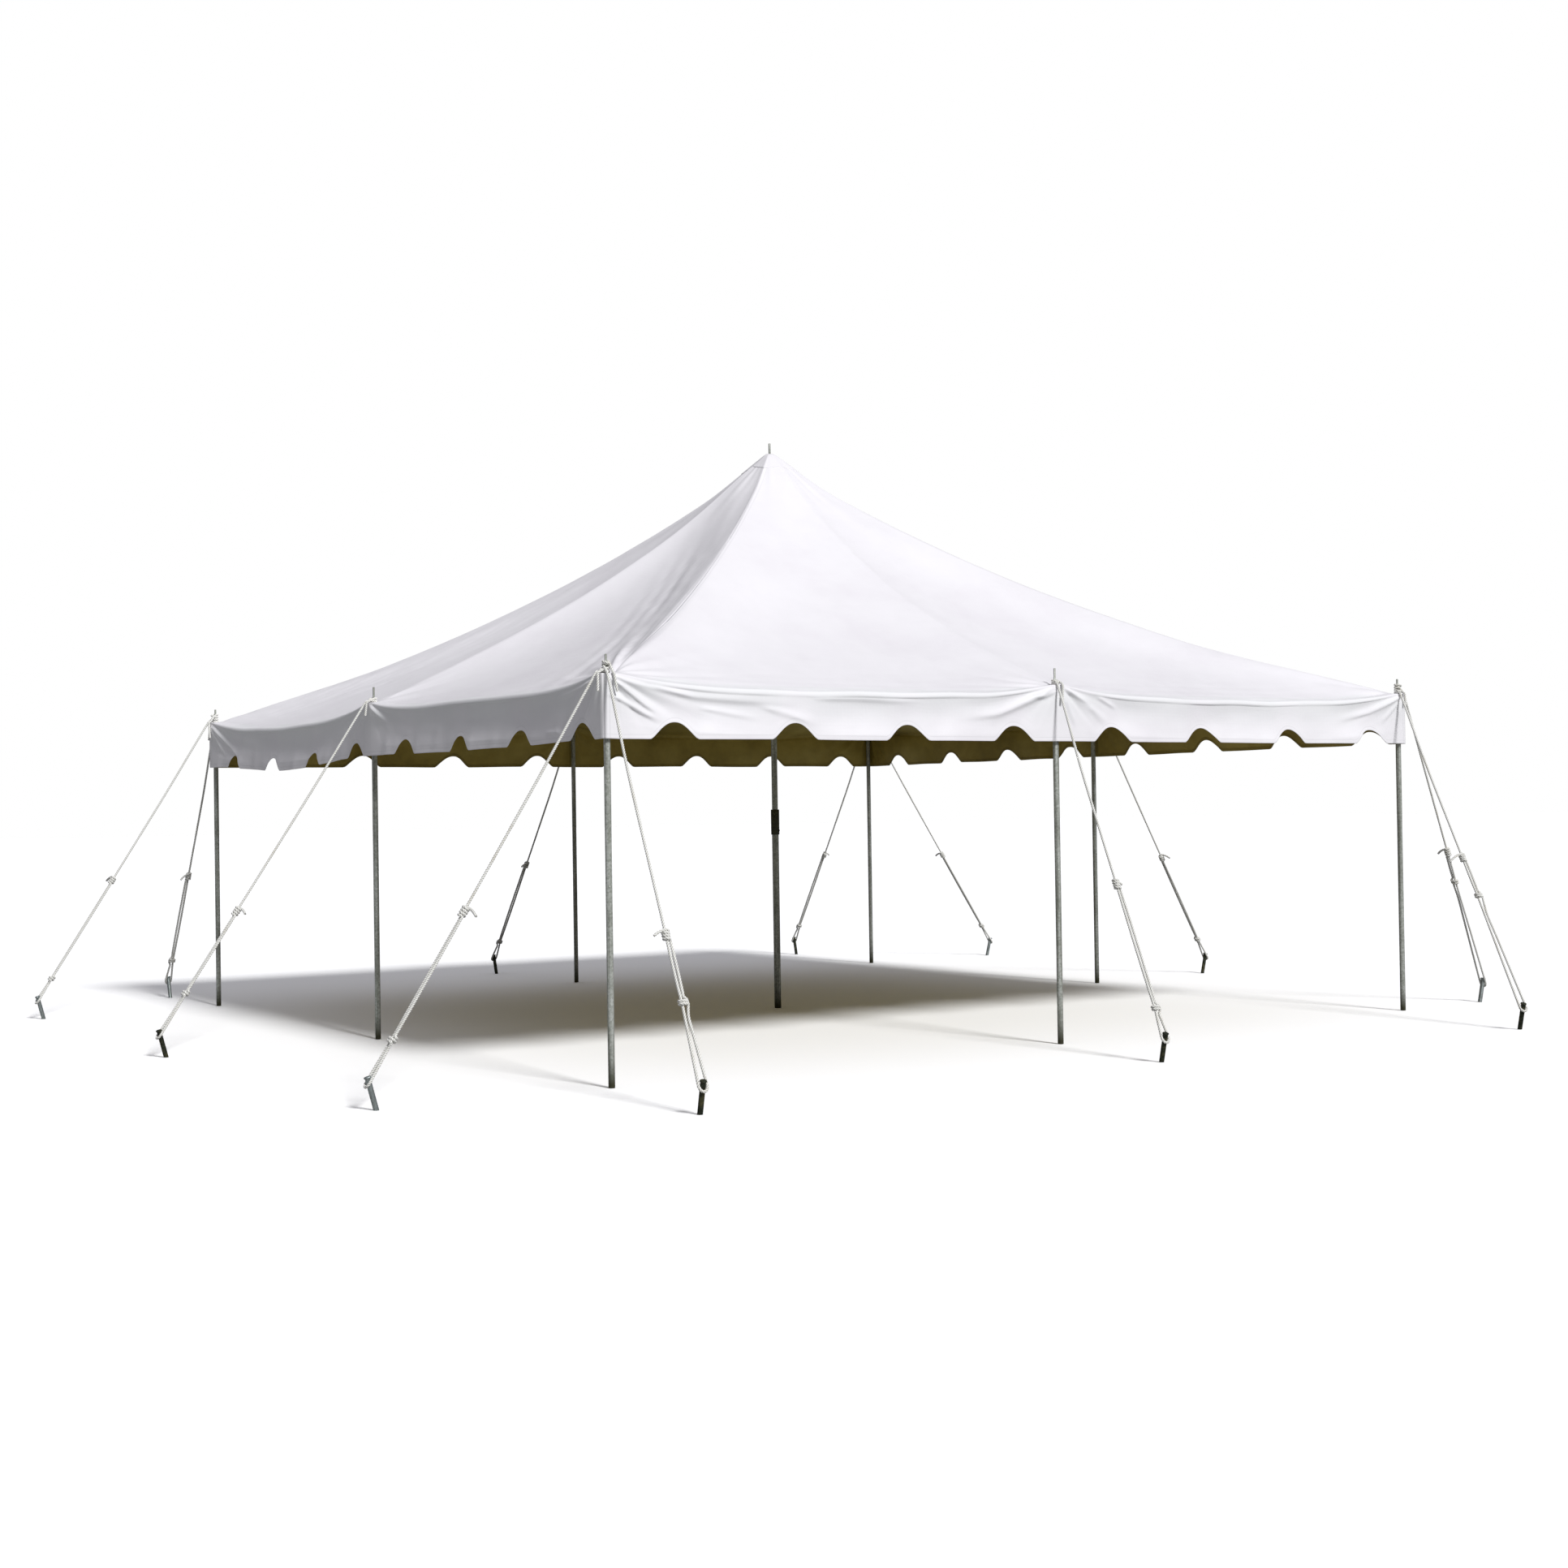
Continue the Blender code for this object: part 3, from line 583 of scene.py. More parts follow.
def roof_rise(x, y):
    """How far the folds and ripples lift the roof at a place seen from above."""
    rise = np.zeros_like(x)
    for name, (pin_x, pin_y) in POLES.items():
        away_x, away_y = x - pin_x, y - pin_y
        far = np.hypot(away_x, away_y)
        heading = np.arctan2(away_y, away_x)
        for degrees, reach, tall, wide in folds_of(name, pin_x, pin_y):
            turn = (heading - math.radians(degrees) + math.pi) % (2 * math.pi) - math.pi
            aside = far * np.sin(np.clip(turn, -math.pi / 2, math.pi / 2))
            width = wide * (0.22 + 0.78 * np.clip(far / reach, 0, 1))
            along_it = smooth(0.03, 0.16, far) * np.exp(-(far / (0.55 * reach)) ** 2)
            rise += tall * along_it * np.exp(-(aside / width) ** 2) * (np.abs(turn) < math.pi / 2)
    far = np.hypot(x, y)
    heading = np.arctan2(y, x)
    inside = EDGE - np.maximum(np.abs(x), np.abs(y))
    run = np.clip(inside / EDGE, 0, 1)
    # The cloth is stretched round over the hips, and up along the lines from the peak to the side poles
    off_hip = np.abs(np.abs(x) - np.abs(y))
    round_hip = HIP_ROUND * smooth(0.0, 0.35, run) * smooth(0.0, 0.5, far) + 0.0001
    rise -= HIP_SLOPE * np.maximum(0, round_hip - off_hip) ** 2 / (4 * round_hip)
    near_hip = HIP_LIFT + HIP_LIFT_FRONT_LEFT * ((x < 0) & (y < 0))
    rise += near_hip * 4 * run * (1 - run) * np.exp(-(off_hip / 0.40) ** 2)
    # Long slack folds run beside the hips, deepest by the front left pin, and behind the side ridges
    for name, (pin_x, pin_y) in POLES.items():
        if pin_x * pin_y == 0:
            continue
        turned = math.atan2(-pin_y, -pin_x)
        to_peak = (x - pin_x) * math.cos(turned) + (y - pin_y) * math.sin(turned)
        aside = (y - pin_y) * math.cos(turned) - (x - pin_x) * math.sin(turned)
        lean = np.sign(pin_x * pin_y) * aside
        band = smooth(0.02, 0.12, lean) * (1 - smooth(0.30, 0.75, lean))
        band = band * smooth(0.25, 0.9, to_peak) * (1 - smooth(2.4, 3.9, to_peak))
        deep = SLACK_FRONT_LEFT if name == "front_left" else SLACK_HIPS
        waves = ripple(0.22 * to_peak, aside, 0.17, seed_of(name))
        waves = waves + 0.45 * ripple(0.4 * to_peak, aside, 0.08, seed_of(name) + 1)
        rise += deep * band * waves
    behind = smooth(0.03, 0.12, y) * (1 - smooth(0.25, 0.8, y))
    behind = behind * smooth(0.4, 1.0, np.abs(x)) * (1 - smooth(2.2, 3.0, np.abs(x)))
    waves = ripple(0.15 * x, y - 0.06 * np.abs(x), 0.16, 71) * (np.abs(x) > np.abs(y))
    rise += SLACK_RIDGES * behind * waves
    off_line = np.sqrt(y * y + 0.035 ** 2)
    sideways = smooth(0.0, 0.25, np.abs(x) - np.abs(y))
    rise += SIDE_RIDGE * 4 * run * (1 - run) * np.exp(-off_line / 0.30) * sideways
    pleats = np.sin(17 * heading + 0.8 * np.sin(3 * heading)) + 0.6 * np.sin(29 * heading + 1.3)
    rise += PLEAT_RISE * pleats * smooth(0.04, 0.30, far) * np.exp(-(far / 0.60) ** 2)
    beside = np.minimum(np.abs(x), np.abs(y))
    bay = np.sin(math.pi * np.clip(beside / HALF, 0, 1)) ** 0.5
    gathers = np.sin(2 * math.pi * inside / GATHER_PITCH + 5.0 * ripple(x, y, 1.7, 11))
    rise += GATHER_RISE * gathers * smooth(0.05, 0.14, inside) * np.exp(-(inside / 0.42) ** 2) * bay
    calm = smooth(0.05, 0.45, inside) * smooth(0.05, 0.5, far)
    puckers = 0.0030 * ripple(x, y, 1.15, 5) + 0.0014 * ripple(x, y, 0.42, 8)
    return rise + calm * (puckers + 0.0007 * ripple(x, y, 0.17, 9))


# The folds that the pins pull into a valance: how far along its side the pin is, which way the fold
# runs from it (1 is right), degrees below the eave, length, height and width
VALANCE_FOLDS = {
    "front": (
        (-EDGE, 1, 5, 1.00, -0.010, 0.035), (-EDGE, 1, 13, 0.75, 0.016, 0.040),
        (-EDGE, 1, 22, 0.50, -0.015, 0.030), (-EDGE, 1, 34, 0.42, 0.017, 0.034),
        (-EDGE, 1, 47, 0.36, -0.014, 0.030), (-EDGE, 1, 64, 0.30, 0.008, 0.030),
        (0, -1, 7, 0.80, -0.010, 0.040), (0, -1, 17, 0.75, 0.010, 0.050),
        (0, -1, 33, 0.40, -0.006, 0.035), (0, -1, 58, 0.30, 0.006, 0.030), (0, 1, 9, 0.55, -0.008, 0.030),
        (0, 1, 24, 0.42, 0.011, 0.030), (0, 1, 37, 0.38, -0.011, 0.028), (0, 1, 60, 0.30, 0.006, 0.030),
        (EDGE, -1, 8, 0.60, -0.009, 0.035), (EDGE, -1, 20, 0.55, 0.010, 0.040),
        (EDGE, -1, 38, 0.35, -0.008, 0.030), (EDGE, -1, 62, 0.28, 0.006, 0.025),
    ),
    "left": (
        (EDGE, -1, 6, 0.90, -0.010, 0.035), (EDGE, -1, 18, 0.60, 0.011, 0.040),
        (EDGE, -1, 34, 0.42, -0.011, 0.034), (EDGE, -1, 52, 0.36, 0.010, 0.032),
        (EDGE, -1, 70, 0.30, -0.008, 0.028), (0, 1, 10, 0.60, -0.008, 0.035),
        (0, 1, 28, 0.36, 0.009, 0.030), (0, 1, 50, 0.30, -0.007, 0.028), (0, -1, 9, 0.60, -0.008, 0.035),
        (0, -1, 30, 0.40, 0.008, 0.034), (0, -1, 56, 0.30, -0.006, 0.028),
        (-EDGE, 1, 12, 0.60, -0.009, 0.035), (-EDGE, 1, 30, 0.45, 0.010, 0.034),
        (-EDGE, 1, 55, 0.32, -0.007, 0.028),
    ),
}


def valance_folds(side):
    """The folds of a side's valance: as in the photograph for the near sides, and made up for the rest."""
    if side in VALANCE_FOLDS:
        return VALANCE_FOLDS[side]
    dice = np.random.default_rng(seed_of(side))
    made = []
    for pin, way in ((-EDGE, 1), (0, -1), (0, 1), (EDGE, -1)):
        for number, degrees in enumerate((7, 19, 33, 50, 68)):
            tall = dice.uniform(0.007, 0.013) * (-1 if number % 2 == 0 else 1)
            degrees += dice.uniform(-4, 4)
            made.append((pin, way, degrees, dice.uniform(0.3, 0.8), tall, dice.uniform(0.028, 0.042)))
    return made


# The sharp creases on the two sides that the photograph shows: the pin's place along the side, the
# crease's path as distances from the pin and below the eave, its height, and its widths above and below
CREASES = {
    "front": (
        (-HALF, ((0.02, 0.03), (0.20, 0.135), (0.37, 0.215)), 0.020, 0.030, 0.010),
        (-HALF, ((0.00, 0.115), (0.20, 0.185), (0.37, 0.228)), 0.014, 0.024, 0.009),
        (-HALF, ((0.03, 0.02), (0.50, 0.062), (1.20, 0.075)), 0.012, 0.030, 0.015),
        (-HALF, ((0.25, 0.03), (0.55, 0.07)), 0.006, 0.020, 0.010),
        (-HALF, ((0.55, 0.12), (0.95, 0.165)), 0.006, 0.025, 0.012),
        (-HALF, ((0.95, 0.10), (1.35, 0.19)), 0.007, 0.030, 0.014),
        (-HALF, ((0.03, 0.05), (0.05, 0.30)), -0.005, 0.012, 0.012),
        (-HALF, ((1.30, 0.045), (2.10, 0.055)), 0.006, 0.020, 0.012),
        (0.0, ((-0.03, 0.042), (-0.11, 0.065), (-0.235, 0.042)), 0.010, 0.020, 0.009),
        (0.0, ((-0.04, 0.03), (-0.45, 0.13), (-0.80, 0.16)), 0.010, 0.035, 0.014),
        (0.0, ((0.05, 0.03), (0.26, 0.09)), 0.011, 0.022, 0.009),
        (0.0, ((0.325, 0.037), (0.50, 0.095)), 0.008, 0.020, 0.009),
        (0.0, ((0.24, 0.095), (0.41, 0.20)), 0.008, 0.035, 0.018),
        (0.0, ((0.04, 0.08), (0.13, 0.25)), 0.008, 0.018, 0.010),
        (HALF, ((-0.02, 0.02), (-0.30, 0.10), (-0.62, 0.14)), 0.011, 0.030, 0.012),
        (HALF, ((-0.02, 0.05), (-0.22, 0.20)), 0.010, 0.022, 0.010),
    ),
    "left": (
        (-HALF, ((0.02, 0.02), (0.30, 0.13), (0.62, 0.235)), 0.014, 0.030, 0.012),
        (-HALF, ((0.03, 0.05), (0.30, 0.25)), 0.010, 0.024, 0.010),
        (0.0, ((0.02, 0.02), (0.30, 0.12)), 0.009, 0.026, 0.011),
        (0.0, ((-0.02, 0.02), (-0.35, 0.20)), 0.009, 0.026, 0.011),
        (HALF, ((-0.05, 0.03), (-0.62, 0.07)), 0.010, 0.026, 0.012),
        (HALF, ((-0.10, 0.03), (-0.35, 0.12)), 0.010, 0.024, 0.010),
        (HALF, ((-0.03, 0.06), (-0.20, 0.24)), 0.009, 0.022, 0.010),
        (HALF, ((-0.62, 0.235), (-0.42, 0.25)), 0.007, 0.016, 0.009),
        (HALF, ((-0.50, 0.22), (-0.42, 0.29)), 0.007, 0.014, 0.009),
    ),
}


def crease_lift(across, depth, path, tall, above, below):
    """How far one crease stands out: a ridge along its path that is steeper on its lower side."""
    whole = sum(math.dist(start, end) for start, end in zip(path, path[1:]))
    nearest = np.full_like(depth, np.inf)
    lift = np.zeros_like(depth)
    gone = 0.0
    for start, end in zip(path, path[1:]):
        length = math.dist(start, end)
        step = ((end[0] - start[0]) / length, (end[1] - start[1]) / length)
        share = np.clip(((across - start[0]) * step[0] + (depth - start[1]) * step[1]) / length, 0, 1)
        off_across = across - start[0] - step[0] * length * share
        off_depth = depth - start[1] - step[1] * length * share
        away = np.hypot(off_across, off_depth)
        walked = (gone + share * length) / whole
        width = np.where(off_depth > 0, 1.5 * below, above) * (0.6 + 0.4 * walked)
        grown = 0.35 + 0.65 * smooth(0, 0.15, walked)
        here = tall * grown * (1 - smooth(0.55, 1, walked)) * np.exp(-(away / width) ** 2)
        lift = np.where(away < nearest, here, lift)
        nearest = np.minimum(nearest, away)
        gone += length
    return lift


def valance_out(side, along, depth):
    """How far the valance stands out from its plane, at a distance along its side and below the eave."""
    share = np.clip(depth / VALANCE_DROP, 0, 1)
    near = np.min([np.abs(along - pin) for pin in (-EDGE, 0, EDGE)], axis=0)
    free = smooth(0.02, 0.5, near)
    seed = seed_of(side)
    uneven = 1 + 1.5 * ripple(along, depth * 0.3, 0.9, seed + 1)
    out = free * (-0.013 * uneven * np.sin(math.pi * np.clip(share / 0.75, 0, 1)) + 0.010 * share ** 2)
    dice = np.random.default_rng(seed + 3)
    for length, tall in ((1.35, 0.0055), (0.83, 0.0050), (0.47, 0.0038), (0.26, 0.0022), (0.15, 0.0014)):
        phase, drift = dice.uniform(0, 2 * math.pi, 2)
        drifting = 1.2 * np.sin(along * 1.7 + drift)
        wave = np.sin(2 * math.pi * along / length + phase + drifting + 1.5 * share)
        out += tall * wave * share ** 1.15 * smooth(0.0, 0.25, near)
    out += 0.0016 * ripple(along * 0.5, depth * 1.6, 0.16, seed + 9) * free
    for pin, way, degrees, reach, tall, wide in valance_folds(side):
        across = (along - pin) * way
        far = np.hypot(across, depth)
        turn = np.arctan2(depth, across) - math.radians(degrees)
        aside = far * np.sin(turn)
        width = wide * (0.25 + 0.75 * np.clip(far / reach, 0, 1))
        fading = 0.7 * tall * smooth(0.015, 0.10, far) * np.exp(-(far / (0.75 * reach)) ** 2)
        out += fading * np.exp(-(aside / width) ** 2) * (across > 0) * (np.abs(turn) < math.pi / 2)
    for pin, path, tall, above, below in CREASES.get(side, ()):
        out += crease_lift(along - pin, depth, path, tall, above, below)
    return out * smooth(0.0, 0.05, EDGE - np.abs(along))


def notch_centres(side):
    """How far along its side the middle of each notch is."""
    pitch = 2 * EDGE / NOTCHES
    return [pitch * (number - (NOTCHES - 1) / 2) + NOTCH_SHIFTS[side] for number in range(NOTCHES)]


def valance_foot(side, along):
    """The height of the scalloped lower edge."""
    away = np.min([np.abs(along - centre) for centre in notch_centres(side)], axis=0)
    share = np.clip((NOTCH_WIDTH / 2 - away) / NOTCH_FLARE, 0, 1)
    notch = 0.5 - 0.5 * np.cos(math.pi * share ** NOTCH_DOME)
    uneven = HEM_UNEVEN * ripple(along, 0 * along, 0.7, seed_of(side)) * smooth(
        0.0, 0.1, EDGE - np.abs(along),
    )
    return EAVE_UNDERSIDE - VALANCE_DROP + NOTCH_HEIGHT * notch + uneven


def columns_along(side):
    """Distances along a side, closer together beside the poles and round the notches."""
    fine = np.linspace(-EDGE, EDGE, 4001)
    close = np.ones_like(fine)
    for pin in (-EDGE, 0, EDGE):
        close += 1.3 * np.exp(-(np.abs(fine - pin) / 0.32) ** 2)
    for centre in notch_centres(side):
        close += 0.8 * np.exp(-(np.abs(fine - centre) / (0.6 * NOTCH_WIDTH)) ** 4)
    gone = np.concatenate([[0], np.cumsum((close[1:] + close[:-1]) / 2)])
    return np.interp(np.linspace(0, gone[-1], COLUMNS + 1), gone, fine)


def rim_point(side, along, inset, height):
    """A point beside the eave: inset is how far inside the eave line it is. The corners are rounded."""
    hang = eave_hang(along / EDGE)
    turn = np.maximum(CORNER_ROUND - inset, 0.0005)
    reach = EDGE - inset
    straight = reach - turn
    length = straight + turn * math.pi / 4
    gone = np.abs(along) / EDGE * length
    angle = np.clip((gone - straight) / turn, 0, math.pi / 4)
    x = np.where(gone < straight, gone, straight + turn * np.sin(angle)) * np.sign(along)
    y = -np.where(gone < straight, reach, straight + turn * np.cos(angle)) + EAVE_BOW * hang
    return np.stack([x, y, height], -1)


def gore(side):
    """Rows of points of one side's sheet, from the crown's hole down to the hem, with what they are for."""
    spin = side_turn(side)
    along = columns_along(side)
    u = along / EDGE
    hang = eave_hang(u)
    slack = np.sin(math.pi * np.abs(u)) ** 2 * (side == "left")
    eave_slack = slack * np.where(u < 0, *EAVE_SLACK)
    hem_slack = slack * np.where(u < 0, *HEM_SLACK)
    rows = []

    def lifted(point):
        world_point = point @ spin.T
        point = point.copy()
        point[..., 2] += roof_rise(world_point[..., 0], world_point[..., 1])
        return point

    hub = np.stack([u * EDGE, -EDGE + EAVE_BOW * hang], -1)
    hub = hub / np.linalg.norm(hub, axis=-1, keepdims=True)
    for radius in (CROWN_HOLE, 0.02):
        rows.append(np.concatenate([hub * radius, np.full((len(u), 1), CROWN_UNDERSIDE + FABRIC)], -1))
    # Rows of the roof as slope lengths from the pole heads up: 12 mm apart near the eave, then wider
    marks, gap = [0.0], 0.012
    while marks[-1] < SLOPE_LENGTH - 0.06:
        marks.append(marks[-1] + gap)
        gap = min(gap * 1.045, 0.034)
    runs = 1 - np.array(marks) / marks[-1]
    for run in runs[::-1]:
        row = lifted(roof_top(u, np.full_like(u, run)))
        row[:, 2] -= eave_slack * smooth(0.72, 1.0, run)
        rows.append(row)
    seat = rows[-1]
    # Roll over the eave: tight over the poles, where it is stretched, and slack between them
    roll = ROLL_TIGHT + ROLL_SLACK * hang
    uneven = EAVE_UNEVEN * ripple(along, 0 * along, 0.55, seed_of(side) + 5) * hang
    top = EAVE_UNDERSIDE - EAVE_SAG * hang + FABRIC + uneven - eave_slack
    lip_out = valance_out(side, along, np.zeros_like(along))
    for share in (0.3, 0.6, 0.85):
        inset = (EDGE - SEAT_INNER) * (1 - share) + roll * share
        rows.append(rim_point(side, along, inset, seat[:, 2] * (1 - share) + (top - roll * 0.02) * share))
    for step in range(1, ROLL_STEPS + 1):
        t = step / ROLL_STEPS
        inset = roll * (1 - t) ** 2
        height = top - roll * t ** 2
        point = rim_point(side, along, inset - lip_out * t, height)
        rows.append(point)
    foot = valance_foot(side, along) - hem_slack
    steps = VALANCE_ROWS[side]
    for step in range(1, steps + 1):
        share = step / steps
        height = (top - roll) * (1 - share) + foot * share
        depth = top - height
        rows.append(rim_point(side, along, -valance_out(side, along, depth), height))
    return [row @ spin.T for row in rows], along, foot


def stitch_rows(name, rows, along, foot, materials):
    """Joins rows into one sheet, with half the columns high on the roof and a quarter of them at the top."""
    counts = []
    for row in rows:
        high = row[:, 2].max()
        counts.append(4 if high > 3.20 else 2 if high > 2.52 else 1)
    points, faces, index_rows, sheet_uv, seam_uv = [], [], [], [], []
    walked = 0.0
    middle = len(along) // 2
    for number, (row, skip) in enumerate(zip(rows, counts)):
        on_roof = walked < SLOPE_LENGTH - 0.05
        if number:
            walked += float(np.linalg.norm(rows[number][middle + 7] - rows[number - 1][middle + 7]))
        kept = range(0, len(along), skip)
        index_rows.append({column: len(points) + place for place, column in enumerate(kept)})
        points += [row[column] for column in kept]
        narrowed = min(1.0, walked / SLOPE_LENGTH)
        sheet_uv += [(along[column] * narrowed, walked) for column in kept]
        for column in kept:
            above_hem = 1.0 if on_roof else row[column, 2] - foot[column]
            seam_uv.append(((EDGE - abs(along[column])) * narrowed, above_hem))
    for upper, lower, coarse, fine in zip(index_rows, index_rows[1:], counts, counts[1:]):
        for column in range(0, len(along) - 1, coarse):
            after = column + coarse
            if coarse == fine:
                faces.append((upper[column], lower[column], lower[after], upper[after]))
            else:
                between = column + coarse // 2
                faces.append((upper[column], lower[column], lower[between]))
                faces.append((upper[column], lower[between], upper[after]))
                faces.append((upper[after], lower[between], lower[after]))
    sheet = new_object(name, points, faces, materials)
    corners = np.empty(len(sheet.data.loops), int)
    sheet.data.loops.foreach_get("vertex_index", corners)
    for layer_name, places in (("cloth", sheet_uv), ("seams", seam_uv)):
        layer = sheet.data.uv_layers.new(name=layer_name)
        layer.data.foreach_set("uv", np.array(places)[corners].ravel())
    return sheet


def keep_result(obj):
    """Turns what an object's modifiers make into its plain mesh."""
    graph = bpy.context.evaluated_depsgraph_get()
    graph.update()
    mesh = bpy.data.meshes.new_from_object(obj.evaluated_get(graph))
    obj.modifiers.clear()
    obj.data = mesh


def thicken(obj, thickness, inner):
    """Gives a sheet thickness on its inner side, whose material is that many slots further on."""
    wall = obj.modifiers.new("thickness", "SOLIDIFY")
    wall.thickness = thickness
    wall.offset = -1.0
    wall.material_offset = inner
    wall.material_offset_rim = 0
    wall.use_even_offset = False
    keep_result(obj)


WELD_WIDTH = 0.032
HEM_WIDTH = 0.024
# Real scrim threads lie 1 mm apart. Waves of this scale lie 25 mm apart, so that the grid shows
WEAVE_SCALE = 12.5


def woven_cloth(tree):
    """The places on the flat cloth, the distances from its hip and its hem, and the height of its weave."""
    cloth = add(tree, "UVMap", uv_map="cloth")
    seams = add(tree, "SeparateXYZ", {0: add(tree, "UVMap", uv_map="seams")})
    warp = add(tree, "TexWave", {"Vector": cloth, "Scale": WEAVE_SCALE}, bands_direction="X")
    weft = add(tree, "TexWave", {"Vector": cloth, "Scale": WEAVE_SCALE}, bands_direction="Y")
    weave = add(tree, "Math", (warp.outputs["Fac"], weft.outputs["Fac"]), operation="ADD")
    return cloth, seams, weave


# PVC coat on a woven polyester scrim: smooth, half-glossy white vinyl. The scrim prints through as a
# fine square grid, with sharp little creases from being packed away, streaks that run with the pull
# along the eave, welded overlaps at the hips and hem, and grey handling marks
white_vinyl, tree, shader = new_material("PVC-coated polyester, white face")
place = add(tree, "TexCoord").outputs["Object"]
cloth, seams, weave = woven_cloth(tree)
creases = add(
    tree, "TexNoise", {"Vector": place, "Scale": 9.0, "Detail": 5.0, "Roughness": 0.55, "Distortion": 0.6},
)
packed = add(
    tree, "TexNoise", {"Vector": place, "Scale": 2.6, "Detail": 3.0, "Roughness": 0.5, "Distortion": 0.5},
    noise_type="RIDGED_MULTIFRACTAL",
)
pulled = add(tree, "Mapping", {"Vector": cloth, "Scale": (1.3, 17.0, 1.0)})
streaks = add(
    tree, "TexNoise", {"Vector": pulled, "Scale": 1.0, "Detail": 4.0, "Roughness": 0.5, "Distortion": 0.3},
)
handling = add(tree, "TexNoise", {"Vector": place, "Scale": 1.3, "Detail": 6.0, "Roughness": 0.6})
tone = add(
    tree, "ValToRGB", {"Fac": handling}, stops=((0.28, "#f0edf2"), (0.50, "#f5f3f7"), (0.72, "#f8f6fa")),
)
# painted shade: a grey-green band on the valance just under the eave, where the roll over the eave shades it
under_eave_shade = add(
    tree, "ValToRGB", {"Fac": seams.outputs["Y"]}, stops=((0.08, 0.0), (0.27, 0.35), (0.33, 0.0)),
)
greener_shade = add(tree, "Mix", {0: under_eave_shade, 6: tone, 7: "#e9eeec"}, data_type="RGBA")
hip_line = add(tree, "Math", (seams.outputs["X"], WELD_WIDTH, 0.003), operation="COMPARE")
hem_line = add(tree, "Math", (seams.outputs["Y"], HEM_WIDTH, 0.0022), operation="COMPARE")
lines = add(tree, "Math", (hip_line, hem_line), operation="MAXIMUM")
faint = add(tree, "Math", (lines, 0.22), operation="MULTIPLY")
lined = add(tree, "Mix", {0: faint, 6: greener_shade, 7: "#c6c6ca"}, data_type="RGBA")
gloss = add(tree, "MapRange", (creases, 0.3, 0.7, 0.42, 0.56))
hip_overlap = add(tree, "Math", (seams.outputs["X"], WELD_WIDTH), operation="LESS_THAN")
hem_overlap = add(tree, "Math", (seams.outputs["Y"], HEM_WIDTH), operation="LESS_THAN")
overlap = add(tree, "Math", (hip_overlap, hem_overlap), operation="MAXIMUM")
fine = add(tree, "Bump", {"Strength": 0.10, "Distance": 0.0004, "Height": weave})
folded = add(tree, "Bump", {"Strength": 0.25, "Distance": 0.005, "Height": creases, "Normal": fine})
stored = add(tree, "Bump", {"Strength": 0.22, "Distance": 0.006, "Height": packed, "Normal": folded})
drawn = add(tree, "Bump", {"Strength": 0.20, "Distance": 0.004, "Height": streaks, "Normal": stored})
welded = add(tree, "Bump", {"Strength": 0.6, "Distance": 0.0012, "Height": overlap, "Normal": drawn})
plug(
    tree, shader,
    {
        "Base Color": lined, "Roughness": gloss, "Specular IOR Level": 0.35, "Sheen Weight": 0.05,
        "Normal": welded,
    },
)

# The back of the same cloth, coloured a dull olive as painted shade for the shaded inside of the tent:
# mottled, darker where it is doubled at the hem and where two widths of cloth are lapped and welded
olive_shade_back, tree, shader = new_material("PVC-coated polyester, back painted olive as shade")
place = add(tree, "TexCoord").outputs["Object"]
cloth, seams, weave = woven_cloth(tree)
CLOTH_WIDTH = 1.545
mottle = add(tree, "TexNoise", {"Vector": place, "Scale": 2.2, "Detail": 6.0, "Roughness": 0.6})
# painted shade: the whole back is coloured olive brown, where the inside of the tent is in shade
tone = add(
    tree, "ValToRGB", {"Fac": mottle}, stops=((0.30, "#9a8740"), (0.50, "#b6a252"), (0.70, "#cab766")),
)
across = add(tree, "SeparateXYZ", {0: cloth}).outputs["X"]
lap = add(tree, "Math", (across, CLOTH_WIDTH), operation="PINGPONG")
lapped = add(tree, "Math", (lap, 0.014), operation="LESS_THAN")
hemmed = add(tree, "Math", (seams.outputs["Y"], HEM_WIDTH), operation="LESS_THAN")
doubled = add(tree, "Math", (lapped, hemmed), operation="MAXIMUM")
faint = add(tree, "Math", (doubled, 0.35), operation="MULTIPLY")
darker = add(tree, "Mix", {0: faint, 6: tone, 7: "#5f4f20"}, data_type="RGBA")
fine = add(tree, "Bump", {"Strength": 0.15, "Distance": 0.0004, "Height": weave})
welded = add(tree, "Bump", {"Strength": 0.6, "Distance": 0.0012, "Height": doubled, "Normal": fine})
plug(tree, shader, {"Base Color": darker, "Roughness": 0.6, "Specular IOR Level": 0.3, "Normal": welded})

for side in SIDES:
    rows, along, foot = gore(side)
    sheet = stitch_rows("canopy_" + side, rows, along, foot, [white_vinyl, olive_shade_back])
    thicken(sheet, SKIN, inner=1)
    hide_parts("roof_" + side, "valance_" + side)
    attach(sheet, "root")


# Crown patch
# A square of the same coated cloth, welded over the peak where the four gores and the pin's hole
# meet. It is creased with the cloth under it, and its edge stands up a little.

PATCH_HALF = 0.150
PATCH_SKIN = 0.0016
PATCH_LIFT = 0.0012
PATCH_ROWS = 22
PATCH_COLUMNS = 24

